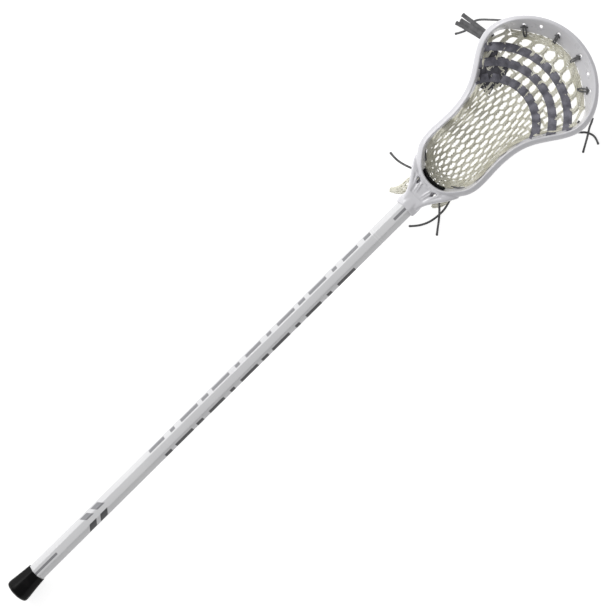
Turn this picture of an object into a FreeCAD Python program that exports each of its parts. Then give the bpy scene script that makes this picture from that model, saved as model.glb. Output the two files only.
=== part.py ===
"""Lacrosse stick: an eight-sided tube shaft, a moulded open head and a strung mesh pocket.

The stick lies on its back with its face up. X runs along the shaft from the butt to the scoop,
Y is to the left of someone who looks along the stick, and Z is up. The origin is under the
middle of the stick's length, on the plane that the lowest rail of the head touches. Distances
"along" the stick are measured from the butt end. All sizes are in millimetres.
"""

import FreeCAD, Part
import math
import os
from FreeCAD import Placement, Rotation, Vector

SIZES = {
    "overall_length": 1045,
    "axis_height": 35,
    "shaft_length": 762,
    "shaft_flats": 24.4,
    "shaft_wall": 1.2,
    "cap_length": 41,
    "cap_floor": 3.2,
    "cap_mouth_flats": 26.6,
    "cap_bead_flats": 28.4,
    "cap_widest_flats": 32.6,
    "cap_end_flats": 25,
    "running_gap": 0.06,
    "end_gap": 0.3,
    "collar_start": 723,
    "collar_flats": 31,
    "socket_gap": 0.1,
    "throat_start": 766,
    "throat_top": 51,
    "panel_drop": 1.5,
    "panel_thickness": 4,
    "rim_width": 8,
    "rim_depth": 8,
    "rail_width": 8,
    "rail_depth": 9,
    "web_recess": 4,
    "wall_lean": 2.5,
    "lip_width": 4.5,
    "scoop_lean": 21.5,
    "scoop_starts": 958,
    "scoop_full": 1036,
    "scoop_hole_inset": 13,
    "scoop_hole_diameter": 4.2,
    "rail_hole_diameter": 3.8,
    "stop_thickness": 3.4,
    "stop_width": 38,
    "stop_low": 24,
    "stop_high": 48,
    "mesh_thickness": 2.5,
    "lace_width": 11,
    "lace_thickness": 1.4,
    "string_diameter": 3.0,
    "tail_lace_width": 5.6,
    "tail_lace_thickness": 1.6,
    "screw_along": 735,
    "screw_diameter": 4.2,
    "screw_length": 9,
    "screw_head_diameter": 8.4,
    "screw_head_height": 2.6,
}

doc = FreeCAD.newDocument("lacrosse_stick")
sheet = doc.addObject("Spreadsheet::Sheet", "sizes")
for row, (alias, value) in enumerate(SIZES.items(), start=1):
    sheet.set(f"A{row}", alias)
    sheet.set(f"B{row}", str(value))
    sheet.setAlias(f"B{row}", alias)
doc.recompute()
size = {alias: float(sheet.get(alias)) for alias in SIZES}

ALONG_X = Rotation(Vector(0, 1, 0), 90)
FLAT_UP = Rotation(Vector(0, 0, 1), 22.5)


def along(distance):
    """X of a distance from the butt end."""
    return distance - size["overall_length"] / 2


def at(distance, side, height):
    return Vector(along(distance), side, height)


def smoothstep(low, high, value):
    t = min(max((value - low) / (high - low), 0), 1)
    return t * t * (3 - 2 * t)


def height_at(profile, distance):
    """Height of a side-view line, eased between its points."""
    for (x0, z0), (x1, z1) in zip(profile, profile[1:]):
        if distance <= x1:
            return z0 + (z1 - z0) * smoothstep(x0, x1, distance)
    return profile[-1][1]


def octagon_prism(name, start, length, flats):
    """An eight-sided bar along the shaft's axis, with a flat facing up."""
    prism = doc.addObject("Part::Prism", name)
    prism.Polygon = 8
    prism.setExpression("Circumradius", f"({flats}) / 2 / cos(22.5 deg)")
    prism.setExpression("Height", length)
    prism.Placement = Placement(Vector(), ALONG_X * FLAT_UP)
    prism.setExpression("Placement.Base.x", f"({start}) - sizes.overall_length / 2")
    prism.setExpression("Placement.Base.z", "sizes.axis_height")
    return prism


def cut(name, base, tool):
    result = doc.addObject("Part::Cut", name)
    result.Base, result.Tool = base, tool
    return result


def feature(name, shape):
    result = doc.addObject("Part::Feature", name)
    result.Shape = shape.Solids[0] if len(shape.Solids) == 1 else shape
    return result


def checked(name, shape):
    """Stop where a step has failed, rather than pass an empty or broken solid on."""
    if shape.isNull() or not shape.isValid() or shape.Volume <= 0:
        raise RuntimeError(f"{name} is not a valid solid")
    return shape


def prism_z(points, low, high):
    """A plan outline of (along, side) points, from one height to another."""
    corners = [at(distance, side, low) for distance, side in points]
    face = Part.Face(Part.makePolygon(corners + corners[:1]))
    return face.extrude(Vector(0, 0, high - low))


# ---------------------------------------------------------------- shaft, cap and screw

SHAFT_START = "(sizes.cap_floor + sizes.end_gap)"

shaft_bar = octagon_prism("shaft_bar", SHAFT_START, "sizes.shaft_length", "sizes.shaft_flats")
shaft_bore = octagon_prism(
    "shaft_bore",
    SHAFT_START + " - 1",
    "sizes.shaft_length + 2",
    "sizes.shaft_flats - 2 * sizes.shaft_wall",
)
shaft_tube = cut("shaft_tube", shaft_bar, shaft_bore)

screw_hole = doc.addObject("Part::Cylinder", "screw_hole")
screw_hole.setExpression("Radius", "sizes.screw_diameter / 2 + sizes.running_gap")
screw_hole.setExpression("Height", "sizes.axis_height")
screw_hole.setExpression("Placement.Base.x", "sizes.screw_along - sizes.overall_length / 2")
shaft = cut("shaft", shaft_tube, screw_hole)

# The cap's outside swells from a beaded mouth to its widest ring and rounds over at the end.
cap_rings = [
    ("0", "sizes.cap_end_flats - 2"),
    ("1.2", "sizes.cap_end_flats + 1.6"),
    ("4", "sizes.cap_widest_flats - 1.6"),
    ("8", "sizes.cap_widest_flats"),
    ("14", "sizes.cap_widest_flats - 0.8"),
    ("24", "sizes.cap_bead_flats + 0.4"),
    ("sizes.cap_length - 6", "sizes.cap_bead_flats - 0.4"),
    ("sizes.cap_length - 2", "sizes.cap_bead_flats"),
    ("sizes.cap_length", "sizes.cap_mouth_flats"),
]
ring_objects = []
for number, (place, flats) in enumerate(cap_rings, start=1):
    ring = doc.addObject("Part::RegularPolygon", f"cap_ring_{number}")
    ring.Polygon = 8
    ring.setExpression("Circumradius", f"({flats}) / 2 / cos(22.5 deg)")
    ring.Placement = Placement(Vector(), ALONG_X * FLAT_UP)
    ring.setExpression("Placement.Base.x", f"{place} - sizes.overall_length / 2")
    ring.setExpression("Placement.Base.z", "sizes.axis_height")
    ring_objects.append(ring)
cap_body = doc.addObject("Part::Loft", "cap_body")
cap_body.Sections = ring_objects
cap_body.Solid = True
cap_body.Ruled = True
cap_socket = octagon_prism(
    "cap_socket",
    "sizes.cap_floor",
    "sizes.cap_length",
    "sizes.shaft_flats + 2 * sizes.running_gap",
)
butt_cap = cut("butt_cap", cap_body, cap_socket)

# The screw is turned from a half profile: pan head at the back, plain shank, short point.
screw_body = doc.addObject("PartDesign::Body", "head_screw")


def origin_plane(body, role):
    return next(f for f in body.Origin.OriginFeatures if f.Role == role)


profile = screw_body.newObject("Sketcher::SketchObject", "screw_profile")
profile.AttachmentSupport = [(origin_plane(screw_body, "XZ_Plane"), "")]
profile.MapMode = "FlatFace"
head_r, head_t = size["screw_head_diameter"] / 2, size["screw_head_height"]
shank_r, reach = size["screw_diameter"] / 2, size["screw_length"]
POINT_LENGTH, EDGE_ROUND = 2.0, 1.0
outline = [
    Vector(0, -head_t, 0),
    Vector(head_r - EDGE_ROUND, -head_t, 0),
    Vector(head_r, -head_t + EDGE_ROUND, 0),
    Vector(head_r, 0, 0),
    Vector(shank_r, 0, 0),
    Vector(shank_r, reach - POINT_LENGTH, 0),
    Vector(0, reach, 0),
]
for begin, finish in zip(outline, outline[1:] + outline[:1]):
    profile.addGeometry(Part.LineSegment(begin, finish), False)
turned = screw_body.newObject("PartDesign::Revolution", "screw_turned")
turned.Profile = profile
turned.ReferenceAxis = (profile, ["V_Axis"])
turned.Angle = 360
for number, (long_x, long_y) in enumerate(((5.0, 1.1), (1.1, 5.0)), start=1):
    slot = screw_body.newObject("PartDesign::SubtractiveBox", f"cross_slot_{number}")
    slot.Length, slot.Width, slot.Height = long_x, long_y, 3.2
    slot.Placement = Placement(Vector(-long_x / 2, -long_y / 2, -4.4), Rotation())
screw_body.setExpression("Placement.Base.x", "sizes.screw_along - sizes.overall_length / 2")
screw_body.setExpression("Placement.Base.z", "sizes.axis_height - sizes.collar_flats / 2")

# ---------------------------------------------------------------- head

# Plan view of the head's outside, one half: throat, waist, the widest place and the scoop.
OUTLINE = [
    (766, 0),
    (768, 14),
    (775, 27.5),
    (787, 38.5),
    (798, 45.8),
    (812, 49.7),
    (840, 49.6),
    (873, 50.4),
    (893, 55),
    (911, 63.8),
    (932, 77.6),
    (950, 87.2),
    (967, 90.8),
    (985, 88),
    (1002, 79.8),
    (1018, 66.5),
    (1032, 48.5),
    (1041.5, 26),
    (1045, 0),
]
# Side view: the upper rim dips behind the throat, and the lower rail drops and rises again.
RIM_LINE = [(766, 51), (800, 47), (860, 42.5), (925, 42.5), (1045, 57)]
RAIL_LINE = [(766, 18), (850, 1.2), (885, 0), (935, 0), (1045, 25)]

half_outline = [at(distance, side, 0) for distance, side in OUTLINE]
head_curve = Part.BSplineCurve()
head_curve.interpolate(
    Points=half_outline + [Vector(p.x, -p.y, 0) for p in reversed(half_outline[1:-1])],
    PeriodicFlag=True,
)


class Station:
    """One place on the head's outline: where it is, and how its wall stands there."""

    def __init__(self, parameter):
        place = head_curve.value(parameter)
        tangent = head_curve.tangent(parameter)[0]
        if abs(place.y) < 0.01:
            tangent.x = 0
        self.point = place
        self.inward = Vector(tangent.y, -tangent.x, 0).normalize()
        self.distance = place.x + size["overall_length"] / 2
        self.top = height_at(RIM_LINE, self.distance)
        self.low = height_at(RAIL_LINE, self.distance)
        scoop = smoothstep(size["scoop_starts"], size["scoop_full"], self.distance)
        blend = lambda wall, lip: wall + (lip - wall) * scoop
        self.rim = blend(size["rim_width"], size["lip_width"])
        self.rail = blend(size["rail_width"], size["lip_width"])
        self.lean = blend(size["wall_lean"], size["scoop_lean"])
        self.recess = blend(size["web_recess"], 0.6)
        self.foot = self.lean + self.rail

    def inside(self, depth, height):
        """A point this far in from the outline."""
        spot = self.point + self.inward * depth
        return Vector(spot.x, spot.y, height)

    def face_height(self, depth):
        """Height of the sloping inner face at this depth."""
        share = (depth - self.rim) / (self.foot - self.rim)
        return self.top + (self.low - self.top) * share

    def section(self):
        """The wall cut across: thick rim, recessed web and thick rail."""
        tall = self.top - self.low
        ease = 2.0
        outer = lambda drop, extra: self.inside(self.lean * drop / tall + extra, self.top - drop)
        rim, rail = size["rim_depth"], tall - size["rail_depth"]
        corners = [
            self.inside(0, self.top),
            self.inside(self.rim, self.top),
            self.inside(self.foot, self.low),
            self.inside(self.lean, self.low),
            outer(rail, 0),
            outer(rail - ease, self.recess),
            outer(rim + ease, self.recess),
            outer(rim, 0),
        ]
        return Part.makePolygon(corners + corners[:1])


first, last = head_curve.FirstParameter, head_curve.parameter(half_outline[-1])
widest = head_curve.parameter(at(*max(OUTLINE, key=lambda spot: spot[1]), 0))


def halve(low, high, passed):
    """The place on the outline where a condition starts to hold."""
    for _ in range(40):
        middle = (low + high) / 2
        if passed(Station(middle)):
            high = middle
        else:
            low = middle
    return Station(high)


def wall_station(distance):
    """The place on the sidewall at a distance along the stick."""
    return halve(first, widest, lambda s: s.distance >= distance)


def scoop_station(side):
    """The place on the scoop at a distance from the middle line."""
    return halve(widest, last, lambda s: s.point.y <= side)


def both_sides(shape):
    return shape.fuse(shape.mirror(Vector(), Vector(0, 1, 0)))


WALL_STEPS = 44
steps = [first + (last - first) * number / WALL_STEPS for number in range(WALL_STEPS + 1)]
stations = [Station(parameter) for parameter in steps]
half_wall = Part.makeLoft([station.section() for station in stations], True, True)
wall = checked("wall", both_sides(half_wall))

# The throat: two ribs spread from the collar to the sidewalls with a sunk panel between them.
RIBS = [
    (736, 14.4),
    (746, 16.6),
    (753, 19.7),
    (763, 25.3),
    (771, 31.4),
    (784, 41.6),
    (793, 45.4),
]
RIB_BACK = [(794, 41), (782, 32), (773, 22), (769, 0)]
PANEL = [(749, 0), (749, 11), (757, 15.8), (766, 21.2), (772, 26), (770, 18), (766.5, 0)]
WINDOW = [(759.5, 12.2), (766, 10), (769.5, 13.4), (769.5, 18.6)]
RIB_LOW = 25
panel_top = size["throat_top"] - size["panel_drop"]
rib_plan = [(736, 0)] + RIBS + RIB_BACK
flare = prism_z(rib_plan, RIB_LOW, size["throat_top"])
panel = prism_z(PANEL, panel_top - size["panel_thickness"], panel_top)
flare = flare.cut(prism_z(PANEL, RIB_LOW - 1, size["throat_top"] + 1)).fuse(panel)
flare = checked("flare", both_sides(flare))

collar_bar = octagon_prism(
    "collar_bar",
    "sizes.collar_start",
    "sizes.throat_start + 4 - sizes.collar_start",
    "sizes.collar_flats",
)
socket_bar = octagon_prism(
    "socket_bar",
    "sizes.collar_start - 1",
    SHAFT_START + " + sizes.shaft_length + sizes.end_gap + 1 - sizes.collar_start",
    "sizes.shaft_flats + 2 * sizes.socket_gap",
)
doc.recompute()

head_shape = checked("head with throat", wall.fuse([flare, collar_bar.Shape]))
cutters = [socket_bar.Shape, screw_hole.Shape]
cutters.append(both_sides(prism_z(PANEL, panel_top, size["throat_top"] + 2)))
cutters.append(both_sides(prism_z(WINDOW, panel_top - size["panel_thickness"] - 1, 60)))

# Long openings through each sidewall, between slanting struts.
WINDOW_GAPS = [(812, 838), (847, 873), (882, 905), (914, 933), (941, 955)]
STRUT_SLANT, WINDOW_MARGIN = 3.0, 2.5
for start, end in WINDOW_GAPS:
    low, high = [], []
    for distance in (start, end):
        low.append((distance, height_at(RAIL_LINE, distance) + size["rail_depth"] + WINDOW_MARGIN))
        high.append((distance, height_at(RIM_LINE, distance) - size["rim_depth"] - WINDOW_MARGIN))
    corners = [
        Vector(along(low[0][0]), -120, low[0][1]),
        Vector(along(low[1][0] - STRUT_SLANT), -120, low[1][1]),
        Vector(along(high[1][0]), -120, high[1][1]),
        Vector(along(high[0][0] + STRUT_SLANT), -120, high[0][1]),
    ]
    opening = Part.Face(Part.makePolygon(corners + corners[:1])).extrude(Vector(0, 240, 0))
    cutters.append(opening)

# Stringing holes: a row through each lower rail, and six down through the scoop.
RAIL_HOLES = range(816, 957, 20)
for distance in RAIL_HOLES:
    height = height_at(RAIL_LINE, distance) + size["rail_depth"] / 2
    start = Vector(along(distance), -120, height)
    cutters.append(
        Part.makeCylinder(size["rail_hole_diameter"] / 2, 240, start, Vector(0, 1, 0))
    )
SCOOP_HOLES = (23, 50, 70)
for side in SCOOP_HOLES:
    spot = scoop_station(side).inside(size["scoop_hole_inset"], 0)
    drill = Part.makeCylinder(size["scoop_hole_diameter"] / 2, 90, spot)
    cutters += [drill, drill.mirror(Vector(), Vector(0, 1, 0))]
head = feature("head", checked("head", head_shape.cut(cutters)))

# The foam stop is a strip stuck to the throat's inner face.
stop_stations = [halve(first, widest, lambda s, y=side: s.point.y >= y) for side in (0, 10, 19, 27)]
stop_low, stop_high = size["stop_low"], size["stop_high"]
stop_points = [s.inside(s.rim, stop_low) for s in stop_stations]
mirrored = [Vector(p.x, -p.y, p.z) for p in reversed(stop_points[1:])]
stop_back = Part.BSplineCurve()
stop_back.interpolate(mirrored + stop_points)
stop_face = Part.Face(
    Part.Wire(
        [
            stop_back.toShape(),
            Part.makeLine(stop_points[-1], stop_points[-1] + Vector(12, 0, 0)),
            Part.makeLine(stop_points[-1] + Vector(12, 0, 0), mirrored[0] + Vector(12, 0, 0)),
            Part.makeLine(mirrored[0] + Vector(12, 0, 0), mirrored[0]),
        ]
    )
)
block = stop_face.extrude(Vector(0, 0, stop_high - stop_low))
hollow = block.translated(Vector(size["stop_thickness"], 0, 0))
strip = block.cut(hollow)
limit = Part.makeBox(60, size["stop_width"], 60, Vector(along(760), -size["stop_width"] / 2, -5))
ball_stop = feature("ball_stop", checked("ball stop", strip.common(limit)))

# ---------------------------------------------------------------- pocket and laces

MESH_EDGE = [(766, 26), (800, 20), (850, 11), (900, 9.5), (960, 11.5), (1045, 33)]
MESH_MIDDLE = [(766, 25), (800, 15), (850, 4.6), (905, 4.4), (950, 9), (1045, 34)]


def pocket_layer(bottom, thickness, gap=0.6):
    """A layer that follows the pocket, this far over its middle surface."""
    rows = []
    for station in stations[2:-1]:
        corner = station.inside(station.foot + gap, 0)
        distance = corner.x + size["overall_length"] / 2
        edge, middle = height_at(MESH_EDGE, distance), height_at(MESH_MIDDLE, distance)
        row = []
        for share in (-1, -0.75, -0.5, -0.25, 0, 0.25, 0.5, 0.75, 1):
            height = middle + (edge - middle) * share**2 + bottom
            row.append(Vector(corner.x, share * corner.y, height))
        rows.append(row)
    surface = Part.BSplineSurface()
    surface.interpolate(rows)
    layer = surface.toShape().extrude(Vector(0, 0, thickness))
    return checked("pocket layer", layer)


pocket = feature("pocket_mesh", pocket_layer(-size["mesh_thickness"], size["mesh_thickness"]))
lace_layer = pocket_layer(0, size["lace_thickness"])

# Each shooting lace is an arch across the mesh: its crown, its ends and their half spacing.
LACES = {
    "shooting_lace_top": (992, 951, 76),
    "shooting_lace_middle": (973, 930, 68),
    "shooting_lace_low": (947, 914, 54),
}
for name, (crown, ends, half) in LACES.items():
    rise = crown - ends
    radius = (half**2 + rise**2) / (2 * rise)
    centre = at(crown - radius, 0, -10)
    wide, slim = radius + size["lace_width"] / 2, radius - size["lace_width"] / 2
    band = Part.makeCylinder(wide, 80, centre).cut(Part.makeCylinder(slim, 80, centre))
    band = band.common(Part.makeBox(200, 300, 100, at(ends - 8, -150, -10)))
    feature(name, checked(name, lace_layer.common(band)))

# ---------------------------------------------------------------- strings

REPORT = []


def bends(route):
    """For each inner point: the direction in, the direction out, the turn and the arc radius."""
    rows = []
    for before, here, after in zip(route, route[1:], route[2:]):
        arriving, leaving = here - before, after - here
        turn = arriving.getAngle(leaving)
        short = min(arriving.Length, leaving.Length)
        rows.append((arriving.normalize(), leaving.normalize(), turn, 0.45 * short))
    return rows


def rounded_path(name, route):
    """Straight runs joined by tangent arcs, each as large as its two runs allow."""
    edges, last_point, radii = [], route[0], []
    for here, (arriving, leaving, turn, reach) in zip(route[1:], bends(route)):
        radius = reach / math.tan(turn / 2)
        enter, leave = here - arriving * reach, here + leaving * reach
        centre_way = (leaving - arriving).normalize()
        middle = here + centre_way * (radius / math.cos(turn / 2) - radius)
        edges.append(Part.LineSegment(last_point, enter).toShape())
        edges.append(Part.Arc(enter, middle, leave).toShape())
        last_point = leave
        radii.append(radius)
    edges.append(Part.LineSegment(last_point, route[-1]).toShape())
    wire = Part.Wire(edges)
    REPORT.append(f"{name}: length {wire.Length:.1f}, tightest bend {min(radii):.1f}")
    return wire


def round_tube(name, route, diameter):
    """A round cord along a route, its volume compared with section times length."""
    wire = rounded_path(name, route)
    start = (route[1] - route[0]).normalize()
    ring = Part.Wire(Part.makeCircle(diameter / 2, route[0], start))
    tube = wire.makePipeShell([ring], True, False)
    expected = math.pi * diameter**2 / 4 * wire.Length
    REPORT.append(f"{name}: volume over section times length {tube.Volume / expected:.3f}")
    return feature(name, checked(name, tube))


def flat_tape(name, route, width, thickness):
    """A flat cord along a route, its width kept level."""
    wire = rounded_path(name, route)
    start = (route[1] - route[0]).normalize()
    across = Vector(0, 0, 1).cross(start).normalize() * (width / 2)
    up = start.cross(across).normalize() * (thickness / 2)
    corners = [route[0] + a + b for a, b in ((across, up), (across, -up), (-across, -up))]
    corners.append(route[0] - across + up)
    sweep = Part.BRepOffsetAPI.MakePipeShell(wire)
    sweep.setBiNormalMode(Vector(0, 0, 1))
    sweep.setTransitionMode(1)
    sweep.add(Part.makePolygon(corners + corners[:1]))
    sweep.build()
    sweep.makeSolid()
    tape = sweep.shape()
    expected = width * thickness * wire.Length
    REPORT.append(f"{name}: volume over section times length {tape.Volume / expected:.3f}")
    return feature(name, checked(name, tape))


string = size["string_diameter"]

# Sidewall strings lace the mesh edge to each lower rail, in and out along the wall.
LACING_STEP, LACING_IN = 11.0, 6.5
for name, sign in (("sidewall_string_left", 1), ("sidewall_string_right", -1)):
    route = []
    distance, at_wall = 800.0, True
    while distance < 966:
        station = wall_station(distance)
        height = height_at(MESH_EDGE, distance) + string / 2 + 0.8
        spot = station.inside(station.foot + (0.9 if at_wall else LACING_IN), height)
        route.append(Vector(spot.x, sign * spot.y, height))
        distance, at_wall = distance + LACING_STEP, not at_wall
    round_tube(name, route, string)

# The top string runs along the mesh's edge, with a loop up to each strung scoop hole.
LOOP_HALF, LOOPS = 2.4, (70, 23, -23, -70)


def scoop_spot(side, depth, lift):
    station = scoop_station(abs(side))
    spot = station.inside(depth, 0)
    height = station.face_height(min(depth, station.foot)) + lift
    return Vector(spot.x, math.copysign(spot.y, side), height)


top_route = [scoop_spot(82, 28, 3.2), scoop_spot(77, 29.5, 3.2)]
for side in LOOPS:
    for offset, depth in ((LOOP_HALF, 29.5), (LOOP_HALF, 17), (-LOOP_HALF, 17), (-LOOP_HALF, 29.5)):
        top_route.append(scoop_spot(side + offset, depth, 3.2 if depth > 20 else 2.4))
    if side != LOOPS[-1]:
        following = LOOPS[LOOPS.index(side) + 1]
        top_route.append(scoop_spot((side + following) / 2 + 0.1, 28, 3.2))
top_route += [scoop_spot(-77, 29.5, 3.2), scoop_spot(-82, 28, 3.2)]
round_tube("top_string", top_route, string)

# The bottom string gathers the mesh's narrow end across the throat.
bottom_route = [
    at(797, 34.2, 24),
    at(792, 28.2, 25.6),
    at(790.4, 20.4, 24.4),
    at(786.2, 12.8, 25.8),
    at(786.4, 4.6, 24.8),
    at(784.8, -3.8, 25.6),
    at(787.2, -12.2, 24.6),
    at(789.6, -20.6, 25.8),
    at(793.4, -27.8, 24.6),
    at(797, -34.2, 24),
]
round_tube("bottom_string", bottom_route, string)

# Knots where the strings are tied off against the outside of the wall.
knot_places = [at(963, 88, 12), at(963, -88, 12), at(801, 41.5, 17), at(801, -41.5, 17)]
knots = [Part.makeSphere(2.7, place) for place in knot_places]
feature("string_knots", Part.makeCompound(knots))

# Free tails: each leaves the head low down and droops. Those at the throat lie a little higher,
# because the stick at rest dips until its cap touches the surface too.
TAILS = {
    "throat_tail_left": [
        at(770, 24, 17.5),
        at(767, 31.5, 15.8),
        at(763.4, 39.6, 11.2),
        at(760.6, 48, 6.8),
        at(759.6, 57, 5.2),
        at(760.6, 65.7, 5),
    ],
    "throat_tail_right_a": [
        at(775.5, -33, 15.6),
        at(766, -36.2, 13),
        at(755.2, -37.8, 8),
        at(744, -37.4, 5.8),
        at(733, -35.4, 5.6),
        at(723.4, -31.2, 5.8),
        at(715.8, -25.8, 6),
        at(709.6, -20, 6),
    ],
    "throat_tail_right_b": [
        at(768, -20, 18.4),
        at(761.4, -26.6, 18.2),
        at(754.8, -33.2, 16.2),
        at(747.6, -39.6, 11.6),
        at(739.4, -45.6, 7.4),
        at(732.8, -50.4, 6),
        at(727, -55, 5.8),
    ],
    "scoop_tail_right_a": [
        at(981.5, -88.6, 15.2),
        at(976.4, -91.6, 12.8),
        at(970.3, -93.6, 9.8),
        at(961.5, -99.3, 6),
        at(950, -105.8, 3),
        at(938.9, -112, 1.7),
    ],
    "scoop_tail_right_b": [
        at(954.6, -88.4, 10.6),
        at(957.4, -91.8, 8.6),
        at(960.6, -94.6, 6.2),
        at(963.2, -99.4, 3.2),
        at(965.2, -105.4, 1.8),
        at(964.2, -112.2, 1.7),
        at(961.2, -118.6, 1.7),
    ],
    "scoop_tail_left": [
        at(987, 84.8, 15.5),
        at(982, 90.5, 13.6),
        at(976.4, 96, 10.5),
        at(969, 103.6, 6.6),
        at(961.4, 109.4, 3.2),
        at(953.1, 109.8, 1.9),
        at(944.4, 107.9, 1.7),
        at(936.4, 111.4, 1.7),
        at(929.3, 115.6, 1.7),
    ],
}
for name, route in TAILS.items():
    round_tube(name, route, string)

# The laces' flat tails leave the left wall side by side, over the string's tail, and fan out.
LACE_TAILS = {
    "lace_tail_top": [
        at(961.4, 86.4, 13.4),
        at(960, 94.6, 11.4),
        at(958.4, 103, 7.4),
        at(957, 111.6, 4.4),
        at(955.4, 119.4, 1.8),
        at(954.4, 127, 1),
    ],
    "lace_tail_middle": [
        at(956.8, 85.4, 14.4),
        at(955.2, 93.4, 12.8),
        at(953.4, 101.6, 9.2),
        at(951.6, 109.6, 6),
        at(949.4, 117, 3.8),
        at(947.6, 123.6, 2.8),
    ],
    "lace_tail_low": [
        at(952.4, 83.6, 12),
        at(950.8, 91.6, 10.6),
        at(948.4, 100, 7.4),
        at(945.8, 108.6, 4.8),
        at(943.8, 117, 2),
        at(940.6, 125.4, 1),
    ],
}
for name, route in LACE_TAILS.items():
    flat_tape(name, route, size["tail_lace_width"], size["tail_lace_thickness"])


def gathered(name, places):
    """A soft roll of gathered mesh through (along, side, height, radius) places."""
    rings = []
    centres = [at(*place[:3]) for place in places]
    for number, place in enumerate(places):
        before, after = centres[max(number - 1, 0)], centres[min(number + 1, len(centres) - 1)]
        rings.append(Part.Wire(Part.makeCircle(place[3], centres[number], after - before)))
    return feature(name, checked(name, Part.makeLoft(rings, True, False)))


# Surplus mesh, drawn out under the throat on both sides of the collar.
MESH_TAILS = {
    "mesh_tail_left": [
        (784, 15, 17, 4),
        (768, 16, 14.5, 5.5),
        (750, 17.5, 13.5, 6.2),
        (738, 20.5, 12.8, 6.8),
        (730.5, 26, 12.4, 5),
        (726.5, 31, 12.2, 2.5),
    ],
    "mesh_tail_right": [
        (786, -20, 17, 4),
        (777, -24.5, 14.5, 6.4),
        (766, -26, 13.2, 7.8),
        (757, -23.6, 12.6, 6.4),
        (751.5, -21, 12.2, 4),
    ],
}
for name, places in MESH_TAILS.items():
    gathered(name, places)

# ---------------------------------------------------------------- check and write

doc.recompute()
NODES = [
    "shaft",
    "butt_cap",
    "head_screw",
    "head",
    "ball_stop",
    "pocket_mesh",
    *MESH_TAILS,
    *LACES,
    "top_string",
    "sidewall_string_left",
    "sidewall_string_right",
    "bottom_string",
    "string_knots",
    *TAILS,
    *LACE_TAILS,
]
for item in doc.Objects:
    if "Invalid" in item.State or "Error" in item.State:
        raise RuntimeError(f"{item.Name} failed: {item.State}")
os.makedirs("parts", exist_ok=True)
for name in NODES:
    item = doc.getObject(name)
    item.Label = name
    checked(name, item.Shape)
    item.Shape.exportStep(f"parts/{name}.step")
print("\n".join(REPORT))
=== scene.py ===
import math
import random

import bmesh
import bpy
import numpy as np
from mathutils import Matrix, Vector


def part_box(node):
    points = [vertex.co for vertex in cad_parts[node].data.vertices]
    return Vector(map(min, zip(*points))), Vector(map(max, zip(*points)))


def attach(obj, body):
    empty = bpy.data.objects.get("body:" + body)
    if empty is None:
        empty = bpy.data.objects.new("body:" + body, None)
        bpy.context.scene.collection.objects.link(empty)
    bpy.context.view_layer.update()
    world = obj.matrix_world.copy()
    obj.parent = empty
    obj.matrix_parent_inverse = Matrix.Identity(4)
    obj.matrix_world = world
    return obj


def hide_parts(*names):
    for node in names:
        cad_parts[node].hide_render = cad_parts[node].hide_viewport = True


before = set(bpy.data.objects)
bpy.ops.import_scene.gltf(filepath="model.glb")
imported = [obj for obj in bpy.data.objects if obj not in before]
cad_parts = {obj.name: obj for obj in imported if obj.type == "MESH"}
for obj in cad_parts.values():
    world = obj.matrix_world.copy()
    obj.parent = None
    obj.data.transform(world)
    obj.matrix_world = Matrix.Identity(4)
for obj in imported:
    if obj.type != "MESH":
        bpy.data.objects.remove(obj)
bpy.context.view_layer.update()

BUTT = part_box("butt_cap")[0][0]
SHAFT_LOW, SHAFT_HIGH = (Vector(corner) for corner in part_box("shaft"))
AXIS_Z = (SHAFT_LOW.z + SHAFT_HIGH.z) / 2
FLATS = SHAFT_HIGH.z - SHAFT_LOW.z
SOCKET, SOCKET_CORNER = FLATS + 0.0003, 0.0016
random.seed(11)

# All lengths are metres. A place is (distance from the butt end, side, height).


def at(distance, side, height):
    return Vector((BUTT + distance, side, height))


def smoothstep(low, high, value):
    share = np.clip((np.asarray(value, float) - low) / (high - low), 0, 1)
    return share * share * (3 - 2 * share)


def height_at(profile, distance):
    """Height of a side-view line, eased between its points, at one distance or at many."""
    distance = np.asarray(distance, float)
    height = np.full(distance.shape, float(profile[-1][1]))
    for (x0, z0), (x1, z1) in reversed(list(zip(profile, profile[1:]))):
        eased = z0 + (z1 - z0) * smoothstep(x0, x1, distance)
        height = np.where(distance <= x1, eased, height)
    return height[()]


def line_at(points, value):
    """Straight interpolation through (place, value) points."""
    places, values = zip(*points)
    return np.interp(value, places, values)


# ---- mesh helpers


def skin(rings, run_closed=False, ring_closed=True, ends=True):
    """Vertices, faces and UVs of a surface through rings: u in metres along, v from 0 to 1 around."""
    rings = np.asarray(rings, float)
    count, around = rings.shape[:2]
    middles = rings.mean(axis=1)
    run = np.concatenate([[0], np.cumsum(np.linalg.norm(np.diff(middles, axis=0), axis=1))])
    faces, uvs = [], []
    for i in range(count if run_closed else count - 1):
        following = (i + 1) % count
        u1 = run[i + 1] if i + 1 < count else run[i] + run[1]
        for j in range(around if ring_closed else around - 1):
            beside = (j + 1) % around
            faces.append((i * around + j, i * around + beside,
                          following * around + beside, following * around + j))
            v0, v1 = j / around, (j + 1) / around
            uvs += [(run[i], v0), (run[i], v1), (u1, v1), (u1, v0)]
    if ends and not run_closed:
        faces.append(tuple(reversed(range(around))))
        faces.append(tuple((count - 1) * around + j for j in range(around)))
        uvs += [(0, 0)] * around + [(run[-1], 0)] * around
    return rings.reshape(-1, 3), faces, uvs


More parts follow.
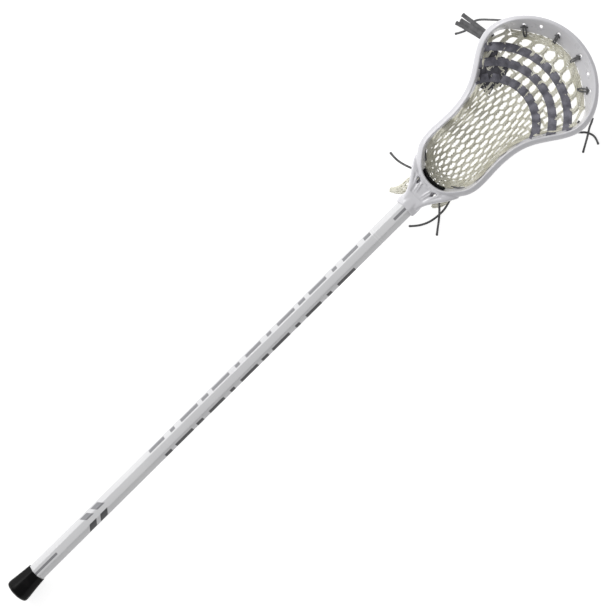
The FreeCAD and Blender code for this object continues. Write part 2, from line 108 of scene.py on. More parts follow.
def build(name, parts, closed=True):
    """One mesh from several skins."""
    verts, faces, uvs = [], [], []
    for part_verts, part_faces, part_uvs in parts:
        start = len(verts)
        verts += [tuple(v) for v in part_verts]
        faces += [tuple(start + k for k in face) for face in part_faces]
        uvs += part_uvs
    mesh = bpy.data.meshes.new(name)
    mesh.from_pydata(verts, [], faces)
    layer = mesh.uv_layers.new(name="UVMap")
    layer.data.foreach_set("uv", np.asarray(uvs, float).ravel())
    if closed:
        work = bmesh.new()
        work.from_mesh(mesh)
        bmesh.ops.recalc_face_normals(work, faces=work.faces)
        work.to_mesh(mesh)
        work.free()
    mesh.polygons.foreach_set("use_smooth", [True] * len(mesh.polygons))
    return mesh


def loose(name, mesh):
    piece = bpy.data.objects.new(name, mesh)
    bpy.context.scene.collection.objects.link(piece)
    return piece


def solid(name, parts):
    return loose(name, build(name, parts))


def add(name, mesh, material, body="stick", stands_for=()):
    piece = loose(name, mesh)
    mesh.materials.append(material)
    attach(piece, body)
    if stands_for:
        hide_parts(*stands_for)
    return piece


def bake(piece):
    """The piece's mesh with its modifiers applied."""
    seen = piece.evaluated_get(bpy.context.evaluated_depsgraph_get())
    mesh = bpy.data.meshes.new_from_object(seen)
    piece.modifiers.clear()
    piece.data = mesh
    return mesh


def cut(piece, cutter):
    """The piece, with the cutter's solid taken out of it."""
    change = piece.modifiers.new("cut", "BOOLEAN")
    change.operation, change.solver, change.object = "DIFFERENCE", "EXACT", cutter
    bake(piece)
    return piece


def paint(mesh, material):
    mesh.materials.clear()
    mesh.materials.append(material)


def oval(width, thick, sides=10, square=1.0):
    """Section of a cord: round when square is 1, a flat band with soft edges when it is less."""
    spots = []
    for k in range(sides):
        turn = 2 * math.pi * (k + 0.5) / sides
        c, s = math.cos(turn), math.sin(turn)
        spots.append((width / 2 * math.copysign(abs(c) ** square, c),
                      thick / 2 * math.copysign(abs(s) ** square, s)))
    return spots


def sweep(path, section, up=(0, 0, 1), sizes=None, closed=False):
    """Rings of a section carried along a path, its thickness kept towards up."""
    path = np.asarray(path, float)
    if closed:
        ahead, behind = np.roll(path, -1, axis=0), np.roll(path, 1, axis=0)
    else:
        ahead, behind = np.vstack([path[1:], path[-1:]]), np.vstack([path[:1], path[:-1]])
    tangent = ahead - behind
    tangent /= np.linalg.norm(tangent, axis=1)[:, None]
    ups = np.broadcast_to(np.asarray(up, float), path.shape)
    side = np.cross(ups, tangent)
    side /= np.maximum(np.linalg.norm(side, axis=1), 1e-9)[:, None]
    over = np.cross(tangent, side)
    scale = np.ones(len(path)) if sizes is None else np.asarray(sizes)
    across = np.array([s[0] for s in section])
    thick = np.array([s[1] for s in section])
    return (path[:, None, :] + scale[:, None, None] * (
        side[:, None, :] * across[None, :, None] + over[:, None, :] * thick[None, :, None]))


def flow(points, step):
    """A smooth curve through given points (Catmull-Rom)."""
    spots = np.asarray([tuple(p) for p in points], float)
    spots = np.vstack([2 * spots[0] - spots[1], spots, 2 * spots[-1] - spots[-2]])
    result = []
    for a, b, c, d in zip(spots, spots[1:], spots[2:], spots[3:]):
        count = max(2, int(np.linalg.norm(c - b) / step))
        for share in np.arange(count) / count:
            result.append(0.5 * (2 * b + (c - a) * share + (2 * a - 5 * b + 4 * c - d) * share**2
                                 + (3 * b - a - 3 * c + d) * share**3))
    result.append(spots[-2])
    return np.array(result)


def cord_skin(route, step, width, thick, sides=8, square=1.0):
    """A cord or band along the smooth curve through a route."""
    return skin(sweep(flow(route, step), oval(width, thick, sides, square)))


def loop_skin(route, width, thick, sides, up):
    """A cord along a closed loop."""
    return skin(sweep(route, oval(width, thick, sides), up=up, closed=True), run_closed=True)


# ---- materials


class Surface:
    """A principled material and short ways to add nodes to it."""

    def __init__(self, name, color, roughness, **sockets):
        self.material = bpy.data.materials.new(name)
        self.material.use_nodes = True
        self.nodes = self.material.node_tree.nodes
        self.links = self.material.node_tree.links
        self.shader = self.nodes["Principled BSDF"]
        self.shader.inputs["Base Color"].default_value = (*color, 1)
        self.shader.inputs["Roughness"].default_value = roughness
        for socket, value in sockets.items():
            self.shader.inputs[socket.replace("_", " ")].default_value = value
        self.places = self.nodes.new("ShaderNodeTexCoord")

    def node(self, kind, settings=None, **inputs):
        """A new node. An input is given by its name, or by its number as in i0."""
        made = self.nodes.new("ShaderNode" + kind)
        for key, value in (settings or {}).items():
            setattr(made, key, value)
        for key, value in inputs.items():
            socket = made.inputs[int(key[1:]) if key[0] == "i" and key[1:].isdigit() else key]
            if isinstance(value, bpy.types.NodeSocket):
                self.links.new(value, socket)
            else:
                socket.default_value = value
        return made

    def math(self, operation, *values):
        inputs = {f"i{k}": value for k, value in enumerate(values)}
        return self.node("Math", {"operation": operation}, **inputs).outputs[0]

    def times(self, first, second):
        return self.math("MULTIPLY", first, second)

    def wave(self, value, pitch):
        return self.math("SINE", self.times(value, 2 * math.pi / pitch))

    def axes(self, kind):
        """X, Y and Z of each place, in Object or UV coordinates."""
        return self.node("SeparateXYZ", Vector=self.places.outputs[kind]).outputs

    def noise(self, scale, detail=3.0):
        made = self.node("TexNoise", Vector=self.places.outputs["Object"], Scale=scale, Detail=detail)
        return made.outputs["Fac"]

    def mix(self, share, first, second):
        colors = [value if isinstance(value, bpy.types.NodeSocket) else (*value, 1)
                  for value in (first, second)]
        made = self.node("Mix", {"data_type": "RGBA"}, i0=share, i6=colors[0], i7=colors[1])
        return made.outputs[2]

    def spread(self, value, low, high, out_low=0.0, out_high=1.0):
        limits = {"From Min": low, "From Max": high, "To Min": out_low, "To Max": out_high}
        return self.node("MapRange", Value=value, **limits).outputs["Result"]

    def patches(self, scale, detail, low, high, first, second):
        """Two colours in cloudy patches."""
        return self.mix(self.spread(self.noise(scale, detail), low, high), first, second)

    def color(self, value):
        self.links.new(value, self.shader.inputs["Base Color"])

    def roughness(self, noise, low, high, smoothest, roughest):
        """Uneven roughness, that rises with the noise from low to high."""
        uneven = self.spread(noise, low, high, smoothest, roughest)
        self.links.new(uneven, self.shader.inputs["Roughness"])

    def bump(self, height, strength, distance):
        made = self.node("Bump", Strength=strength, Distance=distance, Height=height)
        self.links.new(made.outputs["Normal"], self.shader.inputs["Normal"])

    def braid(self, pitch, around):
        """Height of crossed plaits on a cord with UVs along and around."""
        spot = self.axes("UV")
        along = self.times(spot["X"], 2 * math.pi / pitch)
        turn = self.times(spot["Y"], 2 * math.pi * around)
        first = self.math("SINE", self.math("ADD", along, turn))
        second = self.math("SINE", self.math("SUBTRACT", along, turn))
        return self.spread(self.math("MAXIMUM", first, second), -1, 1)


def cord_surface(name, dark, light, roughness, pitch, around):
    made = Surface(name, light, roughness, Sheen_Weight=0.25, Sheen_Roughness=0.5)
    plait = made.braid(pitch, around)
    # Painted shade: the grooves between the plaits are darkened in the colour.
    made.color(made.mix(plait, tuple(0.8 * c for c in dark), made.patches(90, 2, 0.35, 0.65, dark, light)))
    made.roughness(made.noise(300), 0, 1, roughness - 0.08, roughness + 0.1)
    made.bump(plait, 0.6, 0.0004)
    return made.material


# The fine dot pattern moulded into the sunk panel of the throat. Its dots are painted darker as shade.
DOTS_MIDDLE, DOTS_REACH, DOT_PITCH = 0.762, 0.0085, 0.0024


def plastic_surface(name, color, roughness):
    made = Surface(name, color, roughness, Coat_Weight=0.15, Coat_Roughness=0.15)
    base = made.patches(14, 4, 0.3, 0.7, tuple(0.93 * c for c in color), color)
    spot = made.axes("Object")
    along = made.math("SUBTRACT", spot["X"], BUTT)
    near = made.math("COMPARE", along, DOTS_MIDDLE, DOTS_REACH)
    side = made.math("COMPARE", spot["Y"], 0.0, DOTS_REACH)
    place = made.times(made.times(near, side), made.math("GREATER_THAN", spot["Z"], AXIS_Z))
    waves = made.times(made.wave(along, DOT_PITCH), made.wave(spot["Y"], DOT_PITCH))
    # Painted shade: the moulded dots are darkened in the colour.
    dot_shade = made.times(made.math("GREATER_THAN", waves, 0.35), place)
    made.color(made.mix(made.times(dot_shade, 0.3), base, (0.25, 0.25, 0.27)))
    made.roughness(made.noise(60, 4), 0.2, 0.8, roughness - 0.05, roughness + 0.08)
    made.bump(made.noise(900, 2), 0.08, 0.0002)
    return made.material


def dash_row(first, last, marks):
    """(start, end) of plain dashes along the shaft: the same few marks, over and over."""
    return [(start + shift, start + shift + length)
            for start in np.arange(first, last, 0.060) for shift, length in marks]


# Marks printed on the shaft's upper facets. A band is a mark's reach across the shaft.
LEFT_DASHES, LEFT_BAND = dash_row(0.258, 0.64, ((0.0, 0.030), (0.040, 0.010))), (0.0064, 0.0104)
RIGHT_DASHES, RIGHT_BAND = dash_row(0.272, 0.62, ((0.0, 0.010), (0.020, 0.030))), (-0.0122, -0.0082)
BLOCKS = ((0.1420, 0.1548), (0.1620, 0.1750))
LEFT_BLOCK_BAND, RIGHT_BLOCK_BAND = (0.0024, 0.0099), (-0.0116, -0.0042)
BARS = (((0.040, 0.080), (-0.0023, 0.0010)), ((0.707, 0.729), (-0.0026, 0.0010)))
RINGS = ((0.6725, 0.6733), (0.6765, 0.6773))


def shaft_surface():
    made = Surface("painted_tube", (0.8, 0.8, 0.82), 0.3, Coat_Weight=0.3, Coat_Roughness=0.12)
    spot = made.axes("Object")
    along, side = made.math("SUBTRACT", spot["X"], BUTT), spot["Y"]
    top = made.math("GREATER_THAN", spot["Z"], AXIS_Z)

    def within(value, low, high):
        return made.math("COMPARE", value, (low + high) / 2, (high - low) / 2)

    def row(dashes, band):
        ramp = made.node("ValToRGB", Fac=along)
        steps = ramp.color_ramp
        steps.interpolation = "CONSTANT"
        steps.elements[0].color = (0, 0, 0, 1)
        steps.elements.remove(steps.elements[1])
        for start, end in dashes:
            steps.elements.new(start).color = (1, 1, 1, 1)
            steps.elements.new(end).color = (0, 0, 0, 1)
        share = made.node("RGBToBW", Color=ramp.outputs["Color"]).outputs[0]
        return made.times(share, within(side, *band))

    def block(reach, band, lean):
        """A slanted block: its place along the shaft shifts with its place across."""
        slanted = made.math("ADD", along, made.times(side, lean))
        return made.times(within(slanted, *reach), within(side, *band))

    def both(first, second):
        return made.math("MAXIMUM", first, second)

    pale, dark = row(LEFT_DASHES, LEFT_BAND), row(RIGHT_DASHES, RIGHT_BAND)
    for reach in BLOCKS:
        pale = both(pale, block(reach, LEFT_BLOCK_BAND, 1.0))
        dark = both(dark, block(reach, RIGHT_BLOCK_BAND, -1.0))
    for reach, band in BARS:
        pale = both(pale, made.times(within(along, *reach), within(side, *band)))
    rings = both(within(along, *RINGS[0]), within(along, *RINGS[1]))
    base = made.patches(9, 3, 0.3, 0.7, (0.72, 0.72, 0.735), (0.79, 0.79, 0.80))
    base = made.mix(made.times(rings, 0.35), base, (1, 1, 1))
    base = made.mix(made.times(pale, top), base, (0.27, 0.27, 0.285))
    made.color(made.mix(made.times(dark, top), base, (0.075, 0.075, 0.08)))
    made.roughness(made.noise(40, 4), 0.2, 0.8, 0.24, 0.36)
    made.bump(made.noise(700, 2), 0.05, 0.0001)
    return made.material


def rubber_surface():
    made = Surface("cap_rubber", (0.004, 0.004, 0.004), 0.42, Specular_IOR_Level=0.12)
    made.color(made.patches(55, 6, 0.52, 0.75, (0.0022, 0.0021, 0.0022), (0.008, 0.0075, 0.0075)))
    made.roughness(made.noise(30, 5), 0.2, 0.8, 0.34, 0.55)
    made.bump(made.noise(1500, 3), 0.2, 0.0002)
    return made.material


def foam_surface():
    made = Surface("foam", (0.008, 0.008, 0.009), 0.85, Specular_IOR_Level=0.1)
    voronoi = made.node("TexVoronoi", Vector=made.places.outputs["Object"], Scale=1400.0)
    cells = voronoi.outputs["Distance"]
    # Painted shade: the hollows of the cells are darkened in the colour.
    made.color(made.mix(cells, (0.002, 0.002, 0.002), (0.009, 0.009, 0.01)))
    made.roughness(made.noise(200), 0, 1, 0.75, 0.95)
    made.bump(cells, 0.5, 0.0003)
    return made.material


def steel_surface():
    made = Surface("screw_steel", (0.5, 0.5, 0.5), 0.32, Metallic=1.0)
    made.color(made.patches(220, 5, 0.4, 0.7, (0.56, 0.56, 0.55), (0.36, 0.35, 0.33)))
    made.roughness(made.noise(500, 3), 0, 1, 0.22, 0.45)
    made.bump(made.noise(2500, 2), 0.15, 0.0001)
    return made.material


def weave_surface(name, dark, light):
    """A flat woven band: ribs across it, crossed by ribs along it."""
    made = Surface(name, light, 0.75, Sheen_Weight=0.2, Sheen_Roughness=0.5)
    spot = made.axes("UV")
    height = made.spread(made.times(made.wave(spot["X"], 0.0013), made.wave(spot["Y"], 1 / 24)), -1, 1)
    # Painted shade: the hollows of the weave are darkened in the colour.
    made.color(made.mix(height, tuple(0.7 * c for c in dark), made.patches(120, 3, 0.35, 0.65, dark, light)))
    made.roughness(made.noise(400), 0, 1, 0.65, 0.88)
    made.bump(height, 0.6, 0.0003)
    return made.material


def paper_surface():
    """White paper that glows softly, so that the floor stays white."""
    made = Surface("floor_paper", (0.5, 0.5, 0.5), 0.9)
    made.color(made.mix(made.noise(3, 2), (0.49, 0.49, 0.49), (0.51, 0.51, 0.51)))
    made.shader.inputs["Emission Color"].default_value = (1, 1, 1, 1)
    made.shader.inputs["Emission Strength"].default_value = 0.8
    return made.material


HEAD_PLASTIC = plastic_surface("head_plastic", (0.76, 0.755, 0.785), 0.28)
PAINTED_TUBE = shaft_surface()
RUBBER = rubber_surface()
FOAM = foam_surface()
STEEL = steel_surface()
MESH_CORD = cord_surface("mesh_cord", (0.83, 0.81, 0.68), (0.95, 0.935, 0.83), 0.7, 0.0042, 3)
SELVAGE = cord_surface("mesh_selvage", (0.68, 0.66, 0.53), (0.92, 0.90, 0.78), 0.75, 0.0038, 3)
LACE = weave_surface("lace_weave", (0.16, 0.158, 0.19), (0.35, 0.345, 0.40))
# Painted shade: a darker copy of the lace weave, for the laces that run in among the net's cords.
LACE_SHADED = weave_surface("lace_dark", (0.06, 0.059, 0.072), (0.15, 0.147, 0.172))
STRING = cord_surface("string", (0.07, 0.07, 0.072), (0.18, 0.18, 0.185), 0.6, 0.0036, 3)
LACE_WAXED = weave_surface("lace_waxed", (0.11, 0.11, 0.115), (0.24, 0.24, 0.245))
PAPER = paper_surface()

# ---- the head's outline

OUTLINE = [
    (0.766, 0), (0.768, 0.014), (0.775, 0.0275), (0.787, 0.0385), (0.798, 0.0458), (0.812, 0.0497),
    (0.840, 0.0496), (0.873, 0.0504), (0.893, 0.055), (0.911, 0.0638), (0.932, 0.0776),
    (0.950, 0.0872), (0.967, 0.0908), (0.985, 0.088), (1.002, 0.0798), (1.018, 0.0665),
    (1.032, 0.0485), (1.0415, 0.026), (1.045, 0),
]
RIM_LINE = [(0.766, 0.051), (0.800, 0.047), (0.860, 0.0425), (0.925, 0.0425), (1.045, 0.057)]
RAIL_LINE = [(0.766, 0.018), (0.850, 0.0012), (0.885, 0), (0.935, 0), (1.045, 0.025)]
MESH_EDGE = [(0.766, 0.026), (0.800, 0.020), (0.850, 0.011), (0.900, 0.0095), (0.960, 0.0115),
             (1.045, 0.033)]
MESH_MIDDLE = [(0.766, 0.025), (0.800, 0.015), (0.850, 0.0046), (0.905, 0.0044), (0.950, 0.009),
               (1.045, 0.034)]
SCOOP_STARTS, SCOOP_FULL = 0.958, 1.036
RIM_WIDTH, RIM_DEPTH, RAIL_DEPTH = 0.008, 0.008, 0.009
SIDE_LEAN, SIDE_RECESS = 0.0025, 0.004
LIP_WIDTH, LIP_LEAN, LIP_RECESS = 0.0045, 0.0215, 0.0006


def closed_spline(points, step):
    """Evenly spaced points on the smooth closed curve through these points."""
    spots = np.asarray(points, float)
    count = len(spots)
    gap = np.linalg.norm(np.roll(spots, -1, axis=0) - spots, axis=1)
    before = np.roll(gap, 1)
    matrix, right = np.zeros((count, count)), np.zeros((count, 2))
    for k in range(count):
        last, following = (k - 1) % count, (k + 1) % count
        matrix[k, last] += gap[k]
        matrix[k, k] += 2 * (before[k] + gap[k])
        matrix[k, following] += before[k]
        right[k] = 3 * (gap[k] * (spots[k] - spots[last]) / before[k]
                        + before[k] * (spots[following] - spots[k]) / gap[k])
    slope = np.linalg.solve(matrix, right)
    fine = []
    for k in range(count):
        share = np.arange(60)[:, None] / 60
        following = (k + 1) % count
        a, b, c, d = spots[k], slope[k] * gap[k], spots[following], slope[following] * gap[k]
        fine.append((2 * share**3 - 3 * share**2 + 1) * a + (share**3 - 2 * share**2 + share) * b
                    + (3 * share**2 - 2 * share**3) * c + (share**3 - share**2) * d)
    fine = np.vstack(fine + [spots[:1]])
    run = np.concatenate([[0], np.cumsum(np.linalg.norm(np.diff(fine, axis=0), axis=1))])
    even = np.linspace(0, run[-1], int(run[-1] / step) // 2 * 2 + 1)[:-1]
    return np.column_stack([np.interp(even, run, fine[:, axis]) for axis in (0, 1)])


class Wall:
    """The head's wall at each place around its outline, or between two of them."""

    def __init__(self, spots):
        self.d, self.y = spots[:, 0], spots[:, 1]
        ahead = np.roll(spots, -1, axis=0) - np.roll(spots, 1, axis=0)
        ahead /= np.linalg.norm(ahead, axis=1)[:, None]
        self.inward = np.column_stack([ahead[:, 1], -ahead[:, 0]])
        self.top = height_at(RIM_LINE, self.d)
        self.low = height_at(RAIL_LINE, self.d)
        self.tall = self.top - self.low
        scoop = smoothstep(SCOOP_STARTS, SCOOP_FULL, self.d)
        self.rim = RIM_WIDTH + (LIP_WIDTH - RIM_WIDTH) * scoop
        self.lean = SIDE_LEAN + (LIP_LEAN - SIDE_LEAN) * scoop
        self.recess = SIDE_RECESS + (LIP_RECESS - SIDE_RECESS) * scoop
        self.foot = self.lean + self.rim
        self.numbers = np.arange(len(spots))

    def value(self, key, number):
        return np.interp(number, self.numbers, getattr(self, key))

    def inside(self, number, depth, height):
        """A point this far in from the outline, at a running number that needn't be whole."""
        normal = np.array([np.interp(number, self.numbers, self.inward[:, k]) for k in (0, 1)])
        return at(self.value("d", number) + normal[0] * depth,
                  self.value("y", number) + normal[1] * depth, height)

    def outer(self, number, drop, extra=0.0):
        depth = self.value("lean", number) * drop / self.value("tall", number) + extra
        return self.inside(number, depth, self.value("top", number) - drop)

    def inner(self, number, drop, extra=0.0):
        share = drop / self.value("tall", number)
        depth = self.value("rim", number) + self.value("lean", number) * share - extra
        return self.inside(number, depth, self.value("top", number) - drop)


MIRRORED = [(d, -y) for d, y in reversed(OUTLINE[1:-1])]
WALL = Wall(closed_spline(OUTLINE + MIRRORED, 0.0015))
COUNT = len(WALL.d)
WIDEST = int(np.argmax(WALL.y))
TIP = int(np.argmax(WALL.d))


def beside(distance):
    """Running number of the left sidewall at a distance from the butt end."""
    return float(np.interp(distance, WALL.d[:WIDEST], WALL.numbers[:WIDEST]))


def on_scoop(side):
    """Running number of the scoop at a distance to the left of the middle line."""
    sides = WALL.y[WIDEST:TIP + 1][::-1]
    return float(np.interp(side, sides, WALL.numbers[WIDEST:TIP + 1][::-1]))


def foot_line():
    """The mesh's outer line, inside the wall's foot, as (distance, side) places."""
    line = []
    for k in range(TIP + 1):
        spot = WALL.inside(k, WALL.foot[k] + 0.0006, 0)
        if not line or spot.x - BUTT > line[-1][0] + 1e-5:
            line.append((spot.x - BUTT, spot.y))
    return np.array(line)


FOOT = foot_line()


def foot_width(distance):
    return np.interp(distance, FOOT[:, 0], FOOT[:, 1])


def pocket_height(distance, side):
    """Height of the mesh's upper surface."""
    edge, middle = height_at(MESH_EDGE, distance), height_at(MESH_MIDDLE, distance)
    share = np.clip(np.abs(side) / np.maximum(foot_width(distance), 0.004), 0, 1)
    return middle + (edge - middle) * share**2


# ---- head

VOXEL = 0.0009
WINDOWS = [(0.812, 0.838), (0.847, 0.873), (0.882, 0.905), (0.914, 0.933), (0.941, 0.955)]
STRUT_SLANT, CORNER = 0.003, 0.0035


RIM_FALL = 0.0060
# Places over the rim: across it from the outside, and how much of the fall is left there.
RIM_CREST = [(0.10, 0.78), (0.32, 0.48), (0.56, 0.22), (0.74, 0.10), (0.80, 0)]
WEB_TOP, WEB_OVERLAP = 0.006, 0.002


def rim_skin():
    """The upper rim: its top falls outwards from a crest near the inner lip."""
    rings = []
    for k in range(COUNT):
        rim, top = WALL.rim[k], WALL.top[k]
        fall = RIM_FALL * (1 - 0.45 * smoothstep(SCOOP_STARTS, SCOOP_FULL, WALL.d[k]))
        crest = [WALL.inside(k, rim * across, top - fall * left) for across, left in RIM_CREST]
        rings.append([
            WALL.inside(k, 0.0001, top - fall - 0.0007), *crest, WALL.inside(k, rim * 0.97, top - 0.0001),
            WALL.inner(k, 0.0010), WALL.inner(k, RIM_DEPTH), WALL.outer(k, RIM_DEPTH),
        ])
    return skin(rings, run_closed=True)


def rail_skin():
    rings = []
    for k in range(COUNT):
        bottom = WALL.tall[k]
        top = bottom - RAIL_DEPTH
        rings.append([WALL.outer(k, top), WALL.inner(k, top), WALL.inner(k, bottom),
                      WALL.outer(k, bottom, 0.0004)])
    return skin(rings, run_closed=True)


def web_skin(start, end, start_shift, end_shift):
    """A solid stretch of the wall's web, its ends eased into the rim and rail."""
    rings = []
    for share in np.linspace(0, 1, max(4, int((end - start) / 1.5))):
        outside, within = [], []
        for level in np.linspace(0, 1, 11):
            first = start + start_shift(level)
            number = (first + (end + end_shift(level) - first) * share) % COUNT
            web = WALL.value("tall", number) - RAIL_DEPTH - WEB_TOP + WEB_OVERLAP
            drop = WEB_TOP + web * (1 - level)
            outside.append(WALL.outer(number, drop, WALL.value("recess", number)))
            within.append(WALL.inner(number, drop, 0.0003))
        rings.append(outside + within[::-1])
    return skin(rings)


def window_edge(distance, sign):
    """How far, in running numbers, a window's slanting edge lies from its nominal place."""
    per_metre = (beside(distance + 0.001) - beside(distance - 0.001)) / 0.002
    tall = WALL.value("tall", beside(distance)) - RIM_DEPTH - RAIL_DEPTH

    def shift(level):
        slant = STRUT_SLANT * (level if sign > 0 else level - 1)
        near = min(level, 1 - level) * tall
        eased = CORNER - math.sqrt(max(CORNER**2 - max(CORNER - near, 0) ** 2, 0))
        return (slant + sign * eased) * per_metre

    return shift


def web_parts():
    """The webs: struts between windows on each side, and the whole of the scoop and throat."""
    def level_ends(level):
        return 0

    edges = [(window_edge(start, 1), beside(start), window_edge(end, -1), beside(end))
             for start, end in WINDOWS]
    parts = []
    for (_, _, shift_a, place_a), (shift_b, place_b, _, _) in zip(edges, edges[1:]):
        strut = web_skin(place_a, place_b, shift_a, shift_b)
        parts += [strut, mirror_skin(strut)]
    first_shift, first_place = edges[0][0], edges[0][1]
    last_shift, last_place = edges[-1][2], edges[-1][3]
    for stretch in (web_skin(0, first_place, level_ends, first_shift),
                    web_skin(last_place, TIP, last_shift, level_ends)):
        parts += [stretch, mirror_skin(stretch)]
    return parts


def mirror_skin(part):
    verts, faces, uvs = part
    return verts * np.array([1, -1, 1]), [tuple(reversed(face)) for face in faces], uvs


def rounded_octagon(flats, corner, steps=5):
    """Eight-sided section with rounded corners and a flat facing up."""
    middle = (flats / 2 - corner) / math.cos(math.pi / 8)
    spots = []
    for k in range(8):
        way = math.pi / 8 + k * math.pi / 4
        for step in range(steps):
            turn = k * math.pi / 4 + step / (steps - 1) * math.pi / 4
            spots.append((middle * math.cos(way) + corner * math.cos(turn),
                          middle * math.sin(way) + corner * math.sin(turn)))
    return spots


def tube_ring(distance, flats, corner, push=None):
    return [at(distance + (push(y, z) if push else 0), y, AXIS_Z + z)
            for y, z in rounded_octagon(flats, corner)]


COLLAR_START, COLLAR_END, SOCKET_END = 0.7250, 0.770, 0.7658
MOUTH_END = 0.73


def collar_skin():
    """The collar: a rounded sleeve whose mouth is scooped back above and below, with ears beside."""
    def set_back(y, z):
        return 0.0028 * min(1, abs(z) / 0.012) ** 3

    sections = [
        (COLLAR_START, 0.0272, 0.004), (COLLAR_START + 0.0008, 0.0288, 0.0045),
        (COLLAR_START + 0.0035, 0.0305, 0.005), (0.733, 0.0306, 0.005), (0.738, 0.0300, 0.006),
        (0.744, 0.0292, 0.006), (COLLAR_END, 0.0290, 0.006),
        (COLLAR_END, 0.004, 0.001), (SOCKET_END, 0.004, 0.001),
        (SOCKET_END, SOCKET, SOCKET_CORNER), (0.745, SOCKET, SOCKET_CORNER),
        (0.732, SOCKET, SOCKET_CORNER), (COLLAR_START, SOCKET + 0.0012, SOCKET_CORNER),
    ]
    rings = [tube_ring(d, flats, corner, set_back if d < MOUTH_END else None)
             for d, flats, corner in sections]
    return skin(rings, run_closed=True)


RIBS = [(0.736, 0.0130), (0.742, 0.0142), (0.748, 0.0165), (0.755, 0.0203), (0.763, 0.0256),
        (0.771, 0.0316), (0.777, 0.0358), (0.782, 0.0388), (0.787, 0.0410)]
RIB_BACK = [(0.769, 0), (0.773, 0.022), (0.782, 0.032), (0.794, 0.041), (0.83, 0.041), (0.83, 0)]
RIB_LOW, THROAT_TOP, PANEL_DROP, PANEL_THICK = 0.025, 0.051, 0.0016, 0.004
PANEL = [(0.749, 0), (0.749, 0.0105), (0.757, 0.0152), (0.766, 0.0208), (0.772, 0.0256), (0.770, 0.018),
         (0.7665, 0)]
THROAT_WINDOW = [(0.7600, 0.0118), (0.7672, 0.0098), (0.7702, 0.0132), (0.7706, 0.0186)]


def flare_top(distance):
    """The throat's top runs down into the sidewalls' rounded rims."""
    level = min(THROAT_TOP - 0.0020 * (1 - smoothstep(0.738, 0.752, distance)),
                height_at(RIM_LINE, distance) + 0.0012)
    return level - 0.0070 * smoothstep(0.768, 0.790, distance)


def plan_skin(points, low, high):
    """A solid over a plan outline that is mirrored about the middle line."""
    whole = points + [(d, -y) for d, y in reversed(points) if y > 0]
    return skin([[at(d, y, level) for d, y in whole] for level in (low, high)])


def throat_skin():
    """The throat flares from the collar to the sidewalls under a top with rounded edges."""
    rings = []
    for distance in np.linspace(RIBS[0][0], RIBS[-1][0], 30):
        half, top = line_at(RIBS, distance), flare_top(distance)
        lean = 0.0050 * smoothstep(0.757, 0.787, distance)
        side = [(half - lean, RIB_LOW), (half - 0.2 * lean, top - 0.0050), (half - 0.0004, top - 0.0030),
                (half - 0.0014, top - 0.0013), (half - 0.0030, top - 0.0003), (half - 0.0050, top)]
        rings.append([at(distance, y, z) for y, z in side]
                     + [at(distance, -y, z) for y, z in reversed(side)])
    return skin(rings)


def ridge_parts():
    """Thin raised ridges that fan out over the throat."""
    parts = []
    for start, end in (((0.742, 0.0030), (0.7745, 0.0095)), ((0.743, 0.0058), (0.7720, 0.0125)),
                       ((0.745, 0.0088), (0.7690, 0.0190)), ((0.746, 0.0122), (0.7700, 0.0250))):
        low = at(*start, THROAT_TOP - 0.0044)
        middle = at((start[0] + end[0]) / 2, (start[1] + end[1]) / 2 - 0.0006, THROAT_TOP - 0.0013)
        high = at(*end, THROAT_TOP - 0.0019)
        ridge = cord_skin([low, middle, high], 0.004, 0.0018, 0.0024)
        parts += [ridge, mirror_skin(ridge)]
    return parts


def post(place, radius, length, way):
    """A round cutter along Y or Z."""
    rings = []
    for end in (-length / 2, length / 2):
        ring = []
        for k in range(20):
            a, b = radius * math.cos(k * math.pi / 10), radius * math.sin(k * math.pi / 10)
            ring.append((place[0] + a, end, place[2] + b) if way == "side"
                        else (place[0] + a, place[1] + b, place[2] + end))
        rings.append(ring)
    return skin(rings)


RAIL_HOLES, RAIL_HOLE_RADIUS = [0.816 + 0.020 * number for number in range(8)], 0.0019
LIP_HOLES, LIP_HOLE_RADIUS, LIP_HOLE_DEPTH = (0.023, 0.050, 0.070), 0.0021, 0.013
SCREW_PLACE, SCREW_HOLE_RADIUS = 0.735, 0.0023


def make_cutters():
    """The solids that are cut from the head, by name."""
    rail_holes, lip_holes = [], []
    for distance in RAIL_HOLES:
        height = height_at(RAIL_LINE, distance) + RAIL_DEPTH / 2
        rail_holes.append(post(at(distance, 0, height), RAIL_HOLE_RADIUS, 0.3, "side"))
    for side in LIP_HOLES:
        spot = WALL.inside(on_scoop(side), LIP_HOLE_DEPTH, 0.05)
        for y in (spot.y, -spot.y):
            lip_holes.append(post((spot.x, y, spot.z), LIP_HOLE_RADIUS, 0.12, "up"))
    cutters = {
        "rail_holes": rail_holes,
        "lip_holes": lip_holes,
        "screw_hole": [post(at(SCREW_PLACE, 0, AXIS_Z - 0.014), SCREW_HOLE_RADIUS, 0.02, "up")],
        "panel": [plan_skin(PANEL, THROAT_TOP - PANEL_DROP, THROAT_TOP + 0.004)],
        "hollow": [plan_skin(PANEL, RIB_LOW - 0.002, THROAT_TOP - PANEL_DROP - PANEL_THICK)],
        "bore": [skin([tube_ring(d, SOCKET, SOCKET_CORNER) for d in (0.70, SOCKET_END)])],
        "windows": [skin([[at(d, sign * y, level) for d, y in THROAT_WINDOW] for level in (0.03, 0.06)])
                    for sign in (1, -1)],
        "net_side": [plan_skin(RIB_BACK, 0.01, 0.07)],
    }
    return {name: solid(name, parts) for name, parts in cutters.items()}


